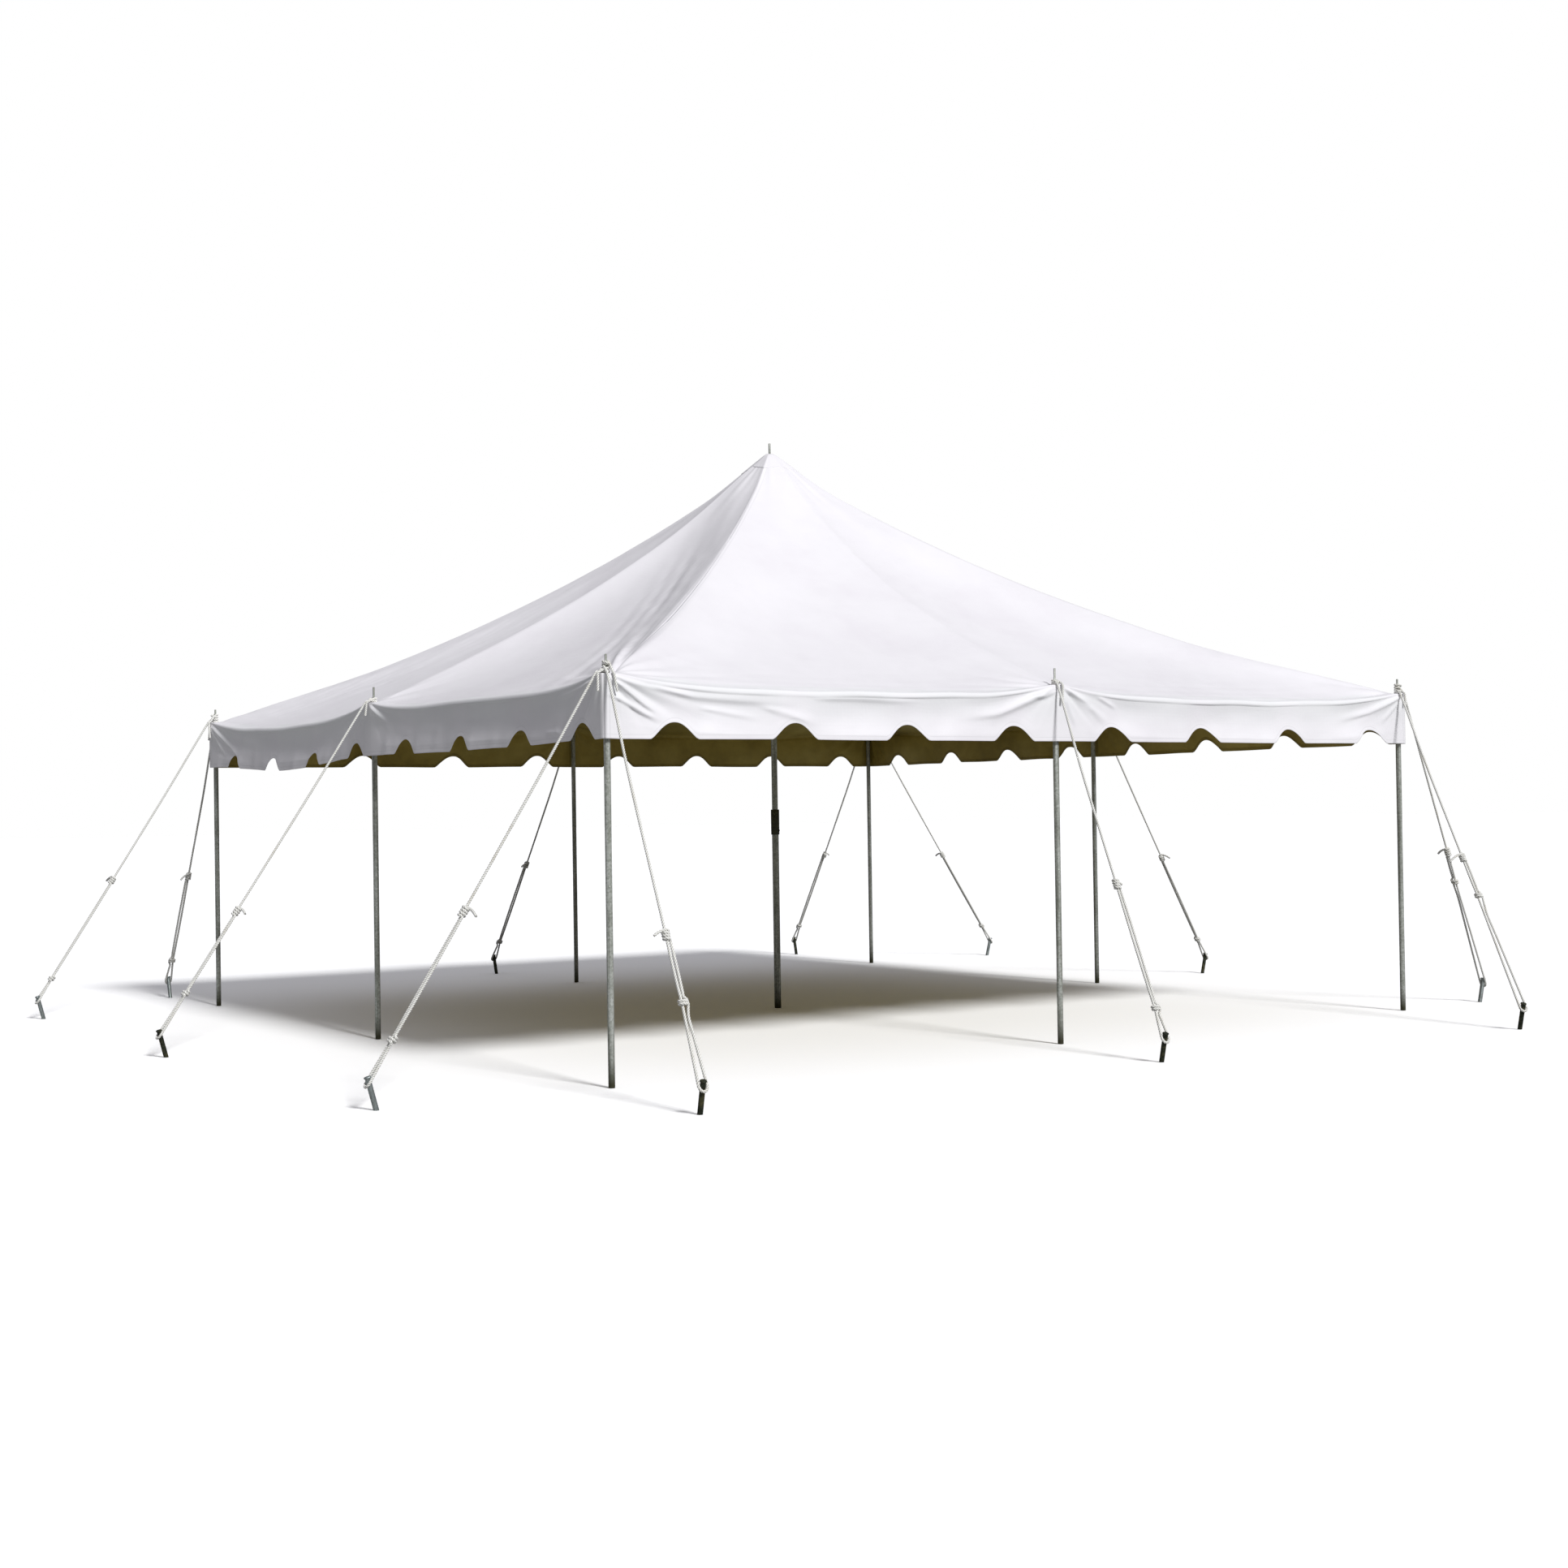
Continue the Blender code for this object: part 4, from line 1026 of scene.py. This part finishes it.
points, faces = [], []
for side in SIDES:
    spin = side_turn(side)
    u = np.linspace(-1, 1, PATCH_COLUMNS + 1)
    crown = roof_top(u, np.zeros_like(u))
    seat = roof_top(u, np.ones_like(u))
    last_run = (PATCH_HALF + crown[:, 1]) / (crown[:, 1] - seat[:, 1])
    first = len(points)
    for row in range(PATCH_ROWS + 1):
        share = row / PATCH_ROWS
        flat = roof_top(u, last_run * share)
        hub = flat / np.linalg.norm(flat[:, :2], axis=1)[:, None] * (CROWN_HOLE + 0.001)
        hub[:, 2] = flat[:, 2]
        close = max(0.0, 1 - row / 2)
        place = flat * (1 - close) + hub * close
        world_place = place @ spin.T
        world_place[:, 2] += roof_rise(world_place[:, 0], world_place[:, 1]) + PATCH_LIFT + PATCH_SKIN
        points += [tuple(point) for point in world_place]
    for row in range(PATCH_ROWS):
        for column in range(PATCH_COLUMNS):
            corner = first + row * (PATCH_COLUMNS + 1) + column
            faces.append((corner, corner + PATCH_COLUMNS + 1, corner + PATCH_COLUMNS + 2, corner + 1))
patch = new_object("crown_patch_cloth", points, faces, [white_vinyl, olive_shade_back])
bm = bmesh.new()
bm.from_mesh(patch.data)
bmesh.ops.remove_doubles(bm, verts=bm.verts, dist=0.0004)
layer = bm.loops.layers.uv.new("cloth")
seam_layer = bm.loops.layers.uv.new("seams")
for face in bm.faces:
    for corner in face.loops:
        corner[layer].uv = corner.vert.co.xy
        corner[seam_layer].uv = (1, 1)
bm.to_mesh(patch.data)
bm.free()
thicken(patch, PATCH_SKIN, inner=0)
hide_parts("crown_patch")
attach(patch, "root")


# Grommets
# Nine rolled-rim grommets of zinc-plated brass, 29 mm across, pressed into the cloth round the holes
# for the pins: one at each side pole and one at the peak.

GROMMET_RING = 0.0125
GROMMET_WIRE = 0.0022

# Zinc-plated brass, pressed: bright, scratched where the pins go in, with yellow showing through
plated, tree, shader = new_material("zinc-plated brass grommet")
place = add(tree, "TexCoord").outputs["Object"]
rubbed = add(tree, "TexNoise", {"Vector": place, "Scale": 160.0, "Detail": 4.0, "Roughness": 0.6})
tone = add(
    tree, "ValToRGB", {"Fac": rubbed}, stops=((0.34, "#8b7748"), (0.52, "#a9a48f"), (0.70, "#c9c8be")),
)
gloss = add(tree, "MapRange", (rubbed, 0.3, 0.7, 0.5, 0.28))
plug(tree, shader, {"Base Color": tone, "Metallic": 1.0, "Roughness": gloss})


def new_tree(name, inputs, outcome):
    """A Geometry Nodes tree: its inputs and the kinds of their sockets, and the name of what it makes."""
    tree = bpy.data.node_groups.new(name, "GeometryNodeTree")
    for label, kind in inputs.items():
        tree.interface.new_socket(label, in_out="INPUT", socket_type="NodeSocket" + kind)
    tree.interface.new_socket(outcome, in_out="OUTPUT", socket_type="NodeSocketGeometry")
    return tree, add(tree, "NodeGroupInput").outputs


def run_tree(obj, tree, values):
    """Runs a tree on an object and keeps what it makes as a plain mesh."""
    maker = obj.modifiers.new(tree.name, "NODES")
    maker.node_group = tree
    for socket in tree.interface.items_tree:
        if socket.name in values:
            maker[socket.identifier] = values[socket.name]
    keep_result(obj)


grommet_inputs = {"Holes": "Geometry", "Ring": "Float", "Wire": "Float", "Metal": "Material"}
grommet_tree, given = new_tree("pressed grommets", grommet_inputs, "Grommets")
ring = add(grommet_tree, "GeometryNodeCurvePrimitiveCircle", {"Resolution": 32, "Radius": given["Ring"]})
wire = add(grommet_tree, "GeometryNodeCurvePrimitiveCircle", {"Resolution": 10, "Radius": given["Wire"]})
pressed = add(grommet_tree, "GeometryNodeCurveToMesh", {"Curve": ring, "Profile Curve": wire})
flatter = add(grommet_tree, "GeometryNodeTransform", {"Geometry": pressed, "Scale": (1.0, 1.0, 0.8)})
set_in = add(grommet_tree, "GeometryNodeInstanceOnPoints", {"Points": given["Holes"], "Instance": flatter})
real = add(grommet_tree, "GeometryNodeRealizeInstances", {"Geometry": set_in})
metal = add(grommet_tree, "GeometryNodeSetMaterial", {"Geometry": real, "Material": given["Metal"]})
add(grommet_tree, "NodeGroupOutput", {0: metal})

holes = [(x, y, EAVE_UNDERSIDE + FABRIC) for x, y in POLES.values()]
holes.append((0, 0, CROWN_UNDERSIDE + FABRIC + PATCH_LIFT + PATCH_SKIN))
grommets = new_object("pin_grommets", holes, [], [])
run_tree(grommets, grommet_tree, {"Ring": GROMMET_RING, "Wire": GROMMET_WIRE, "Metal": plated})
grommets.data.shade_smooth()
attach(grommets, "root")


# Stakes
# Twelve round steel bars, 28 mm across, hammered in so that they lean 15 degrees away from the tent.
# Their heads are mushroomed. Some are newer and grey, and the others are old bars gone nearly black.

STAKE_RADIUS = 0.014
STAKE_LENGTH = 0.172
STAKE_NECK = 0.027
STAKE_LEAN = math.radians(15)
STAKE_LIP = 0.0045
STAKE_STEPS = 44

# Each rope has its pole, how far its stake stands from that pole, the side whose eave it crosses,
# how many ropes lie under it on the pin, and its stake's look
ROPES = {
    "front_left_1": ("front_left", (-1.28, 0.03), "left", 0, "grey"),
    "front_left_2": ("front_left", (-0.14, -1.10), "front", 1, "black"),
    "front_middle": ("front_middle", (-0.17, -1.03), "front", 0, "black"),
    "front_right_1": ("front_right", (-0.42, -1.25), "front", 0, "black"),
    "front_right_2": ("front_right", (0.85, 0.04), "right", 1, "grey"),
    "right_middle": ("right_middle", (1.28, 0.12), "right", 0, "black"),
    "back_right_1": ("back_right", (1.36, 0.00), "right", 0, "grey"),
    "back_right_2": ("back_right", (0.15, 1.45), "back", 1, "black"),
    "back_middle": ("back_middle", (-0.08, 1.35), "back", 0, "black"),
    "back_left_1": ("back_left", (-0.06, 0.98), "back", 0, "grey"),
    "back_left_2": ("back_left", (-1.32, -0.12), "left", 1, "grey"),
    "left_middle": ("left_middle", (-1.38, -0.08), "left", 0, "black"),
}

# Newer bar: hot-rolled steel under a thin zinc wash, blue-grey, scraped bright and specked with rust
grey_bar, tree, shader = new_material("zinc-washed steel bar")
place = add(tree, "TexCoord").outputs["Object"]
scraped = add(tree, "Mapping", {"Vector": place, "Scale": (260.0, 260.0, 22.0)})
scrapes = add(tree, "TexNoise", {"Vector": scraped, "Scale": 1.0, "Detail": 4.0, "Roughness": 0.65})
rust = add(tree, "TexNoise", {"Vector": place, "Scale": 85.0, "Detail": 6.0, "Roughness": 0.7})
wash = add(
    tree, "ValToRGB", {"Fac": scrapes}, stops=((0.32, "#7d8786"), (0.50, "#a9b3b2"), (0.68, "#c9d1d0")),
)
rusted = add(tree, "MapRange", (rust, 0.56, 0.68))
coat = add(tree, "Mix", {0: rusted, 6: wash, 7: "#5e4a33"}, data_type="RGBA")
bare = add(tree, "MapRange", (rusted, 0.0, 1.0, 0.85, 0.1))
gloss = add(tree, "MapRange", (rusted, 0.0, 1.0, 0.38, 0.85))
relief = add(tree, "Bump", {"Strength": 0.5, "Distance": 0.0008, "Height": rust})
plug(tree, shader, {"Base Color": coat, "Metallic": bare, "Roughness": gloss, "Normal": relief})

# Old bar: forge scale and earth on bare steel, nearly black, olive where it has been in wet turf
black_bar, tree, shader = new_material("forge-scaled steel bar")
place = add(tree, "TexCoord").outputs["Object"]
scale_flakes = add(tree, "TexNoise", {"Vector": place, "Scale": 95.0, "Detail": 6.0, "Roughness": 0.7})
earth = add(tree, "TexNoise", {"Vector": place, "Scale": 28.0, "Detail": 5.0, "Roughness": 0.6})
scale_tone = add(
    tree, "ValToRGB", {"Fac": scale_flakes},
    stops=((0.34, "#15180f"), (0.52, "#2a2f22"), (0.70, "#4b5142")),
)
earthy = add(tree, "MapRange", (earth, 0.48, 0.66))
coat = add(tree, "Mix", {0: earthy, 6: scale_tone, 7: "#4a4526"}, data_type="RGBA")
bare = add(tree, "MapRange", (earthy, 0.0, 1.0, 0.55, 0.05))
gloss = add(tree, "MapRange", (scale_flakes, 0.3, 0.7, 0.72, 0.42))
relief = add(tree, "Bump", {"Strength": 0.7, "Distance": 0.001, "Height": scale_flakes})
plug(tree, shader, {"Base Color": coat, "Metallic": bare, "Roughness": gloss, "Normal": relief})

STAKE_LOOKS = {"grey": grey_bar, "black": black_bar}


def stake_axis(pole, foot):
    """Where a stake comes out of the ground, the heading of its rope, and the way that it leans."""
    heading = Vector((*foot, 0)).normalized()
    ground = Vector((*POLES[pole], 0)) + Vector((*foot, 0))
    return ground, heading, heading * math.sin(STAKE_LEAN) + Vector((0, 0, math.cos(STAKE_LEAN)))


lip, top = STAKE_RADIUS + STAKE_LIP, STAKE_LENGTH
profile = [
    (0, top - 0.0010, 0), (0.006, top - 0.0004, 0.02), (lip - 0.0060, top - 0.0006, 0.03),
    (lip - 0.0030, top - 0.0014, 0.05), (lip - 0.0010, top - 0.0030, 0.07), (lip, top - 0.0055, 0.09),
    (lip - 0.0006, top - 0.0080, 0.09), (lip - 0.0026, top - 0.0100, 0.06),
    (STAKE_RADIUS + 0.0006, top - 0.0120, 0.03), (STAKE_RADIUS, top - 0.0150, 0.02),
    *((STAKE_RADIUS, top * share, 0.02) for share in (0.80, 0.66, 0.52, 0.38, 0.24, 0.12)),
    (STAKE_RADIUS, 0, 0.02),
]
points, faces = lathe([pair[:2] for pair in profile] + [(0, 0)], STAKE_STEPS)
for name, (pole, foot, _, _, look) in ROPES.items():
    dice = np.random.default_rng(seed_of(name) + 41)
    ground, heading, axis = stake_axis(pole, foot)
    waves = [
        (number, dice.uniform(0, 2 * math.pi), dice.uniform(0.5, 1.0) / number ** 0.5)
        for number in (1, 2, 3, 5, 7)
    ]
    tilt = Vector((0, 0, 1)).rotation_difference(axis).to_matrix()
    placed = []
    for index, point in enumerate(points):
        place = Vector(point)
        row = min(max(0, (index - 1) // STAKE_STEPS + 1), len(profile) - 1)
        angle = math.atan2(place.y, place.x)
        twist = place.z * 25 * (row > 8)
        rough = sum(tall * math.sin(count * angle + phase + twist) for count, phase, tall in waves) / 2.2
        place.xy *= 1 + profile[row][2] * rough
        place.z += 0.0014 * rough * (0 < row < 5)
        place = ground + tilt @ place
        if row == len(profile) - 1:
            place -= axis * (place.z / axis.z)
        placed.append(place)
    stake = new_object("stake_bar_" + name, placed, faces, [STAKE_LOOKS[look]])
    sharpen(stake, 50)
    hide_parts("stake_" + name)
    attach(stake, "root")


# Guy ropes
# Twelve guy ropes of white three-strand polypropylene, 14 mm across. Each is tied to its pin with a
# clove hitch, runs over the eave and round its stake, and comes back up to two knots.

ROPE_RADIUS = 0.0072
ROPE_CLEARANCE = 0.0003
ROPE_LAY = 0.042
ROPE_STEP = 0.0049
STRAND_GROOVE = 0.17
EDGE_MARGIN = 0.042
LOOP_LENGTH = 0.170
HITCH_SHARE = 0.57
HITCH_RISE = 0.034
ROPE_HANG = 0.006
STRANDS_PART = 0.0026
# The gaps at the pin and over the cloth, and how far each turn of a wrap is from the next, in radii
PIN_GAP = 0.0012
CLOTH_GAP = 0.0022
WRAP_PITCH = 2.16

# The way that each hitch's loose end points, seen along the rope from the pin, and its length
LOOSE_ENDS = {
    "front_left_1": (1, 0.120), "front_left_2": (-1, 0.075), "front_middle": (1, 0.060),
    "front_right_1": (-1, 0.110), "front_right_2": (1, 0.070), "right_middle": (-1, 0.090),
    "back_right_1": (1, 0.080), "back_right_2": (-1, 0.060), "back_middle": (1, 0.070),
    "back_left_1": (1, 0.080), "back_left_2": (-1, 0.100), "left_middle": (1, 0.090),
}

# Where the hitch and the knot that closes the loop are, as shares of the way from the eave to the
# stake, on the ropes whose knots the photograph shows
KNOTS = {
    "front_left_1": (0.585, 0.905), "front_left_2": (0.645, 0.815), "front_right_1": (0.535, 0.665),
    "front_right_2": (0.525, 0.645), "left_middle": (0.630, 0.885),
}

# Twisted polypropylene: three shiny white strands with painted shade darkening the hollows between
# them, fine fibres along each strand, and a little earth rubbed in
cordage, tree, shader = new_material("twisted white polypropylene rope")
place = add(tree, "TexCoord").outputs["Object"]
groove = add(tree, "Attribute", attribute_name="groove")
# painted shade: the hollows between the strands are coloured dark grey
hollow_shade = add(
    tree, "ValToRGB", {"Fac": groove.outputs["Fac"]},
    stops=((0.0, "#56564d"), (0.12, "#a9a99e"), (0.30, "#efeee8"), (1.0, "#fdfdfb")),
)
earth = add(tree, "TexNoise", {"Vector": place, "Scale": 7.0, "Detail": 5.0, "Roughness": 0.65})
soiled = add(tree, "MapRange", (earth, 0.52, 0.80, 0.0, 0.5))
coat = add(tree, "Mix", {0: soiled, 6: hollow_shade, 7: "#b5a98d"}, data_type="RGBA")
FIBRES = 1 / 0.0012
fibres = add(tree, "TexNoise", {"Vector": place, "Scale": FIBRES / 2, "Detail": 2.0})
gloss = add(tree, "MapRange", (fibres, 0.3, 0.7, 0.45, 0.7))
relief = add(tree, "Bump", {"Strength": 0.4, "Distance": 0.0005, "Height": fibres})
plug(tree, shader, {"Base Color": coat, "Roughness": gloss, "Sheen Weight": 0.1, "Normal": relief})

rope_inputs = {
    "Path": "Geometry", "Radius": "Float", "Lay": "Float", "Step": "Float", "Groove": "Float",
    "Cordage": "Material",
}
rope_tree, given = new_tree("twisted rope", rope_inputs, "Rope")
line = add(rope_tree, "GeometryNodeMeshToCurve", {"Mesh": given["Path"]})
eased = add(rope_tree, "GeometryNodeCurveSplineType", {"Curve": line}, spline_type="CATMULL_ROM")
spaced = add(
    rope_tree, "GeometryNodeResampleCurve", {"Curve": eased, "Length": given["Step"]}, mode="LENGTH",
)
travelled = add(rope_tree, "GeometryNodeSplineParameter").outputs["Length"]
turns = add(rope_tree, "Math", (travelled, given["Lay"]), operation="DIVIDE")
tilt = add(rope_tree, "Math", (turns, 2 * math.pi), operation="MULTIPLY")
twisted = add(rope_tree, "GeometryNodeSetCurveTilt", {"Curve": spaced, "Tilt": tilt})
circle = add(rope_tree, "GeometryNodeCurvePrimitiveCircle", {"Resolution": 12, "Radius": given["Radius"]})
spot = add(rope_tree, "GeometryNodeInputPosition")
parts = add(rope_tree, "SeparateXYZ", {0: spot})
angle = add(rope_tree, "Math", (parts.outputs["Y"], parts.outputs["X"]), operation="ARCTAN2")
thrice = add(rope_tree, "Math", (angle, 3.0), operation="MULTIPLY")
lobes = add(rope_tree, "Math", (thrice,), operation="COSINE")
swell = add(rope_tree, "Math", (lobes, given["Groove"], 1.0), operation="MULTIPLY_ADD")
lobed = add(rope_tree, "VectorMath", {0: spot, "Scale": swell}, operation="SCALE")
depth = add(rope_tree, "Math", (lobes, 0.5, 0.5), operation="MULTIPLY_ADD")
marked = add(
    rope_tree, "GeometryNodeStoreNamedAttribute", {"Geometry": circle, "Name": "groove", "Value": depth},
    data_type="FLOAT", domain="POINT",
)
strands = add(rope_tree, "GeometryNodeSetPosition", {"Geometry": marked, "Position": lobed})
laid = add(
    rope_tree, "GeometryNodeCurveToMesh", {"Curve": twisted, "Profile Curve": strands, "Fill Caps": True},
)
real = add(rope_tree, "GeometryNodeRealizeInstances", {"Geometry": laid})
dressed = add(rope_tree, "GeometryNodeSetMaterial", {"Geometry": real, "Material": given["Cordage"]})
add(rope_tree, "NodeGroupOutput", {0: dressed})


def rope_line(name, pole, foot, side, under):
    """The points of a rope's middle, from its loose end at the pin to its loose end at the hitch."""
    dice = np.random.default_rng(seed_of(name) + 7)
    pin = Vector((*POLES[pole], 0))
    ground, heading, axis = stake_axis(pole, foot)
    up = Vector((0, 0, 1))
    across = up.cross(heading)
    turn = math.radians(SIDES[side])
    side_out = Vector((math.sin(turn), -math.cos(turn), 0))
    cloth = EAVE_UNDERSIDE + FABRIC
    lay = SIDE_PIN_RADIUS + ROPE_RADIUS + PIN_GAP
    low = cloth + ROPE_RADIUS + CLOTH_GAP + under * HITCH_RISE
    high = low + 2.45 * ROPE_RADIUS

    def at_eave(offset):
        """The point of the eave that a line along the rope meets, so far across from the pin."""
        ahead = (EDGE_MARGIN - offset * across.dot(side_out)) / heading.dot(side_out)
        return pin + heading * ahead + across * offset + up * cloth

    # The loose end hangs over the eave, beside the rope, and the hitch is two half turns with one
    # slanting over them
    loose = at_eave(lay + 0.004)
    drop = dice.uniform(0.07, 0.13)
    lean = across * dice.uniform(-0.1, 0.35)
    route = []
    for share in (0.0, 0.25, 0.5, 0.75, 0.93):
        point = loose + side_out * (0.026 - 0.010 * share)
        route.append(point + (lean - up) * drop * (1 - share) + up * 0.004 * share)
    route.append(loose + side_out * 0.004 + up * (ROPE_RADIUS + 0.002))
    route.append(loose - side_out * 0.014 + up * ((ROPE_RADIUS + high - cloth) / 2))
    for degrees in range(-540, 1, 15):
        angle = math.radians(degrees)
        front = 0.5 - 0.5 * math.cos(math.radians(degrees + 360) * 2) if -360 < degrees < -180 else 0
        rest = float(smooth(-360, -180, degrees))
        reach = lay + 1.75 * ROPE_RADIUS * front
        beside_pin = heading * math.sin(angle) - across * math.cos(angle)
        route.append(pin + beside_pin * reach + up * (high * (1 - rest) + low * rest))

    edge = at_eave(-lay)
    neck = ground + axis * (STAKE_LENGTH - STAKE_NECK)
    fall = (neck - edge).normalized()
    length = (neck - edge).length
    rise = fall.cross(across)
    reach = ROPE_RADIUS + CLOTH_GAP
    first = math.atan2(low - cloth - reach, EDGE_MARGIN)
    last = math.atan2(fall.z, fall.dot(heading))
    for number in range(7):
        bend = -first * (1 - number / 6) + last * number / 6 + math.pi / 2
        route.append(edge + (heading * math.cos(bend) + up * math.sin(bend)) * reach)

    apart = ROPE_RADIUS + ROPE_CLEARANCE
    hitch_share, loop_share = KNOTS.get(name, (HITCH_SHARE, 1 - LOOP_LENGTH / length))

    def strand(share, way):
        """A point of one of the two strands: way is -1 on the one that comes down and 1 on the other."""
        between_knots = min(1, max(0, (share - hitch_share) / (loop_share - hitch_share)))
        beside = apart * float(smooth(0.0, 0.3, share)) + STRANDS_PART * math.sin(math.pi * between_knots)
        lifted = reach * (1 - float(smooth(0.0, 0.3, share)))
        point = edge + fall * length * share + rise * lifted + across * beside * way
        return point - up * ROPE_HANG * 4 * share * (1 - share)

    route += [strand(share, -1) for share in np.linspace(0.03, loop_share, 22)]
    wide = STAKE_RADIUS + ROPE_RADIUS + ROPE_CLEARANCE + 0.0006
    deep = wide / fall.cross(axis).length
    spread = np.linspace(0.25, 0.85, 4)
    foot_low, foot_high = neck - across * wide, neck + across * wide
    route += [strand(loop_share, -1).lerp(foot_low, share) for share in spread]
    for degrees in range(-90, 91, 15):
        angle = math.radians(degrees)
        route.append(neck + fall * deep * math.cos(angle) + across * wide * math.sin(angle))
    start_wrap = loop_share + 0.010 / length
    route += [foot_high.lerp(strand(start_wrap, 1), share) for share in spread]

    # Two wraps round both strands close the loop, and three round the standing strand end the rope
    pitch = WRAP_PITCH * ROPE_RADIUS / length
    for number in range(1, 33):
        angle = 2 * math.pi * number / 16
        share = start_wrap - pitch * angle / (2 * math.pi)
        middle = (strand(share, -1) + strand(share, 1)) / 2
        point = middle + across * (apart + 1.95 * ROPE_RADIUS) * math.cos(angle)
        route.append(point + rise * 2.05 * ROPE_RADIUS * math.sin(angle))
    way, tail = LOOSE_ENDS[name]
    turns = 3.75 if way > 0 else 3.25
    start_hitch = hitch_share + turns * pitch
    after_wrap = start_wrap - 2 * pitch - 0.016 / length
    route += [strand(share, 1) for share in np.linspace(after_wrap, start_hitch + 0.008 / length, 16)]
    for number in range(int(turns * 16) + 1):
        angle = 2 * math.pi * number / 16
        share = start_hitch - pitch * angle / (2 * math.pi)
        tight = 2.08 * ROPE_RADIUS
        route.append(strand(share, -1) + (across * math.cos(angle) + rise * math.sin(angle)) * tight)
    end = route[-1]
    droop = dice.uniform(0.15, 0.45)
    for share in (0.15, 0.3, 0.5, 0.7, 0.85, 1.0):
        point = end + across * way * tail * share * (1 - 0.12 * share) - up * droop * tail * share ** 2
        route.append(point + fall * tail * 0.15 * share)
    return route


rope_values = {
    "Radius": ROPE_RADIUS, "Lay": ROPE_LAY, "Step": ROPE_STEP, "Groove": STRAND_GROOVE, "Cordage": cordage,
}
for name, (pole, foot, side, under, _) in ROPES.items():
    route = rope_line(name, pole, foot, side, under)
    rope = new_object("rope_" + name, route, [], [], edges=[(at, at + 1) for at in range(len(route) - 1)])
    run_tree(rope, rope_tree, rope_values)
    rope.data.shade_smooth()
    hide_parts("guy_rope_" + name)
    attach(rope, "root")
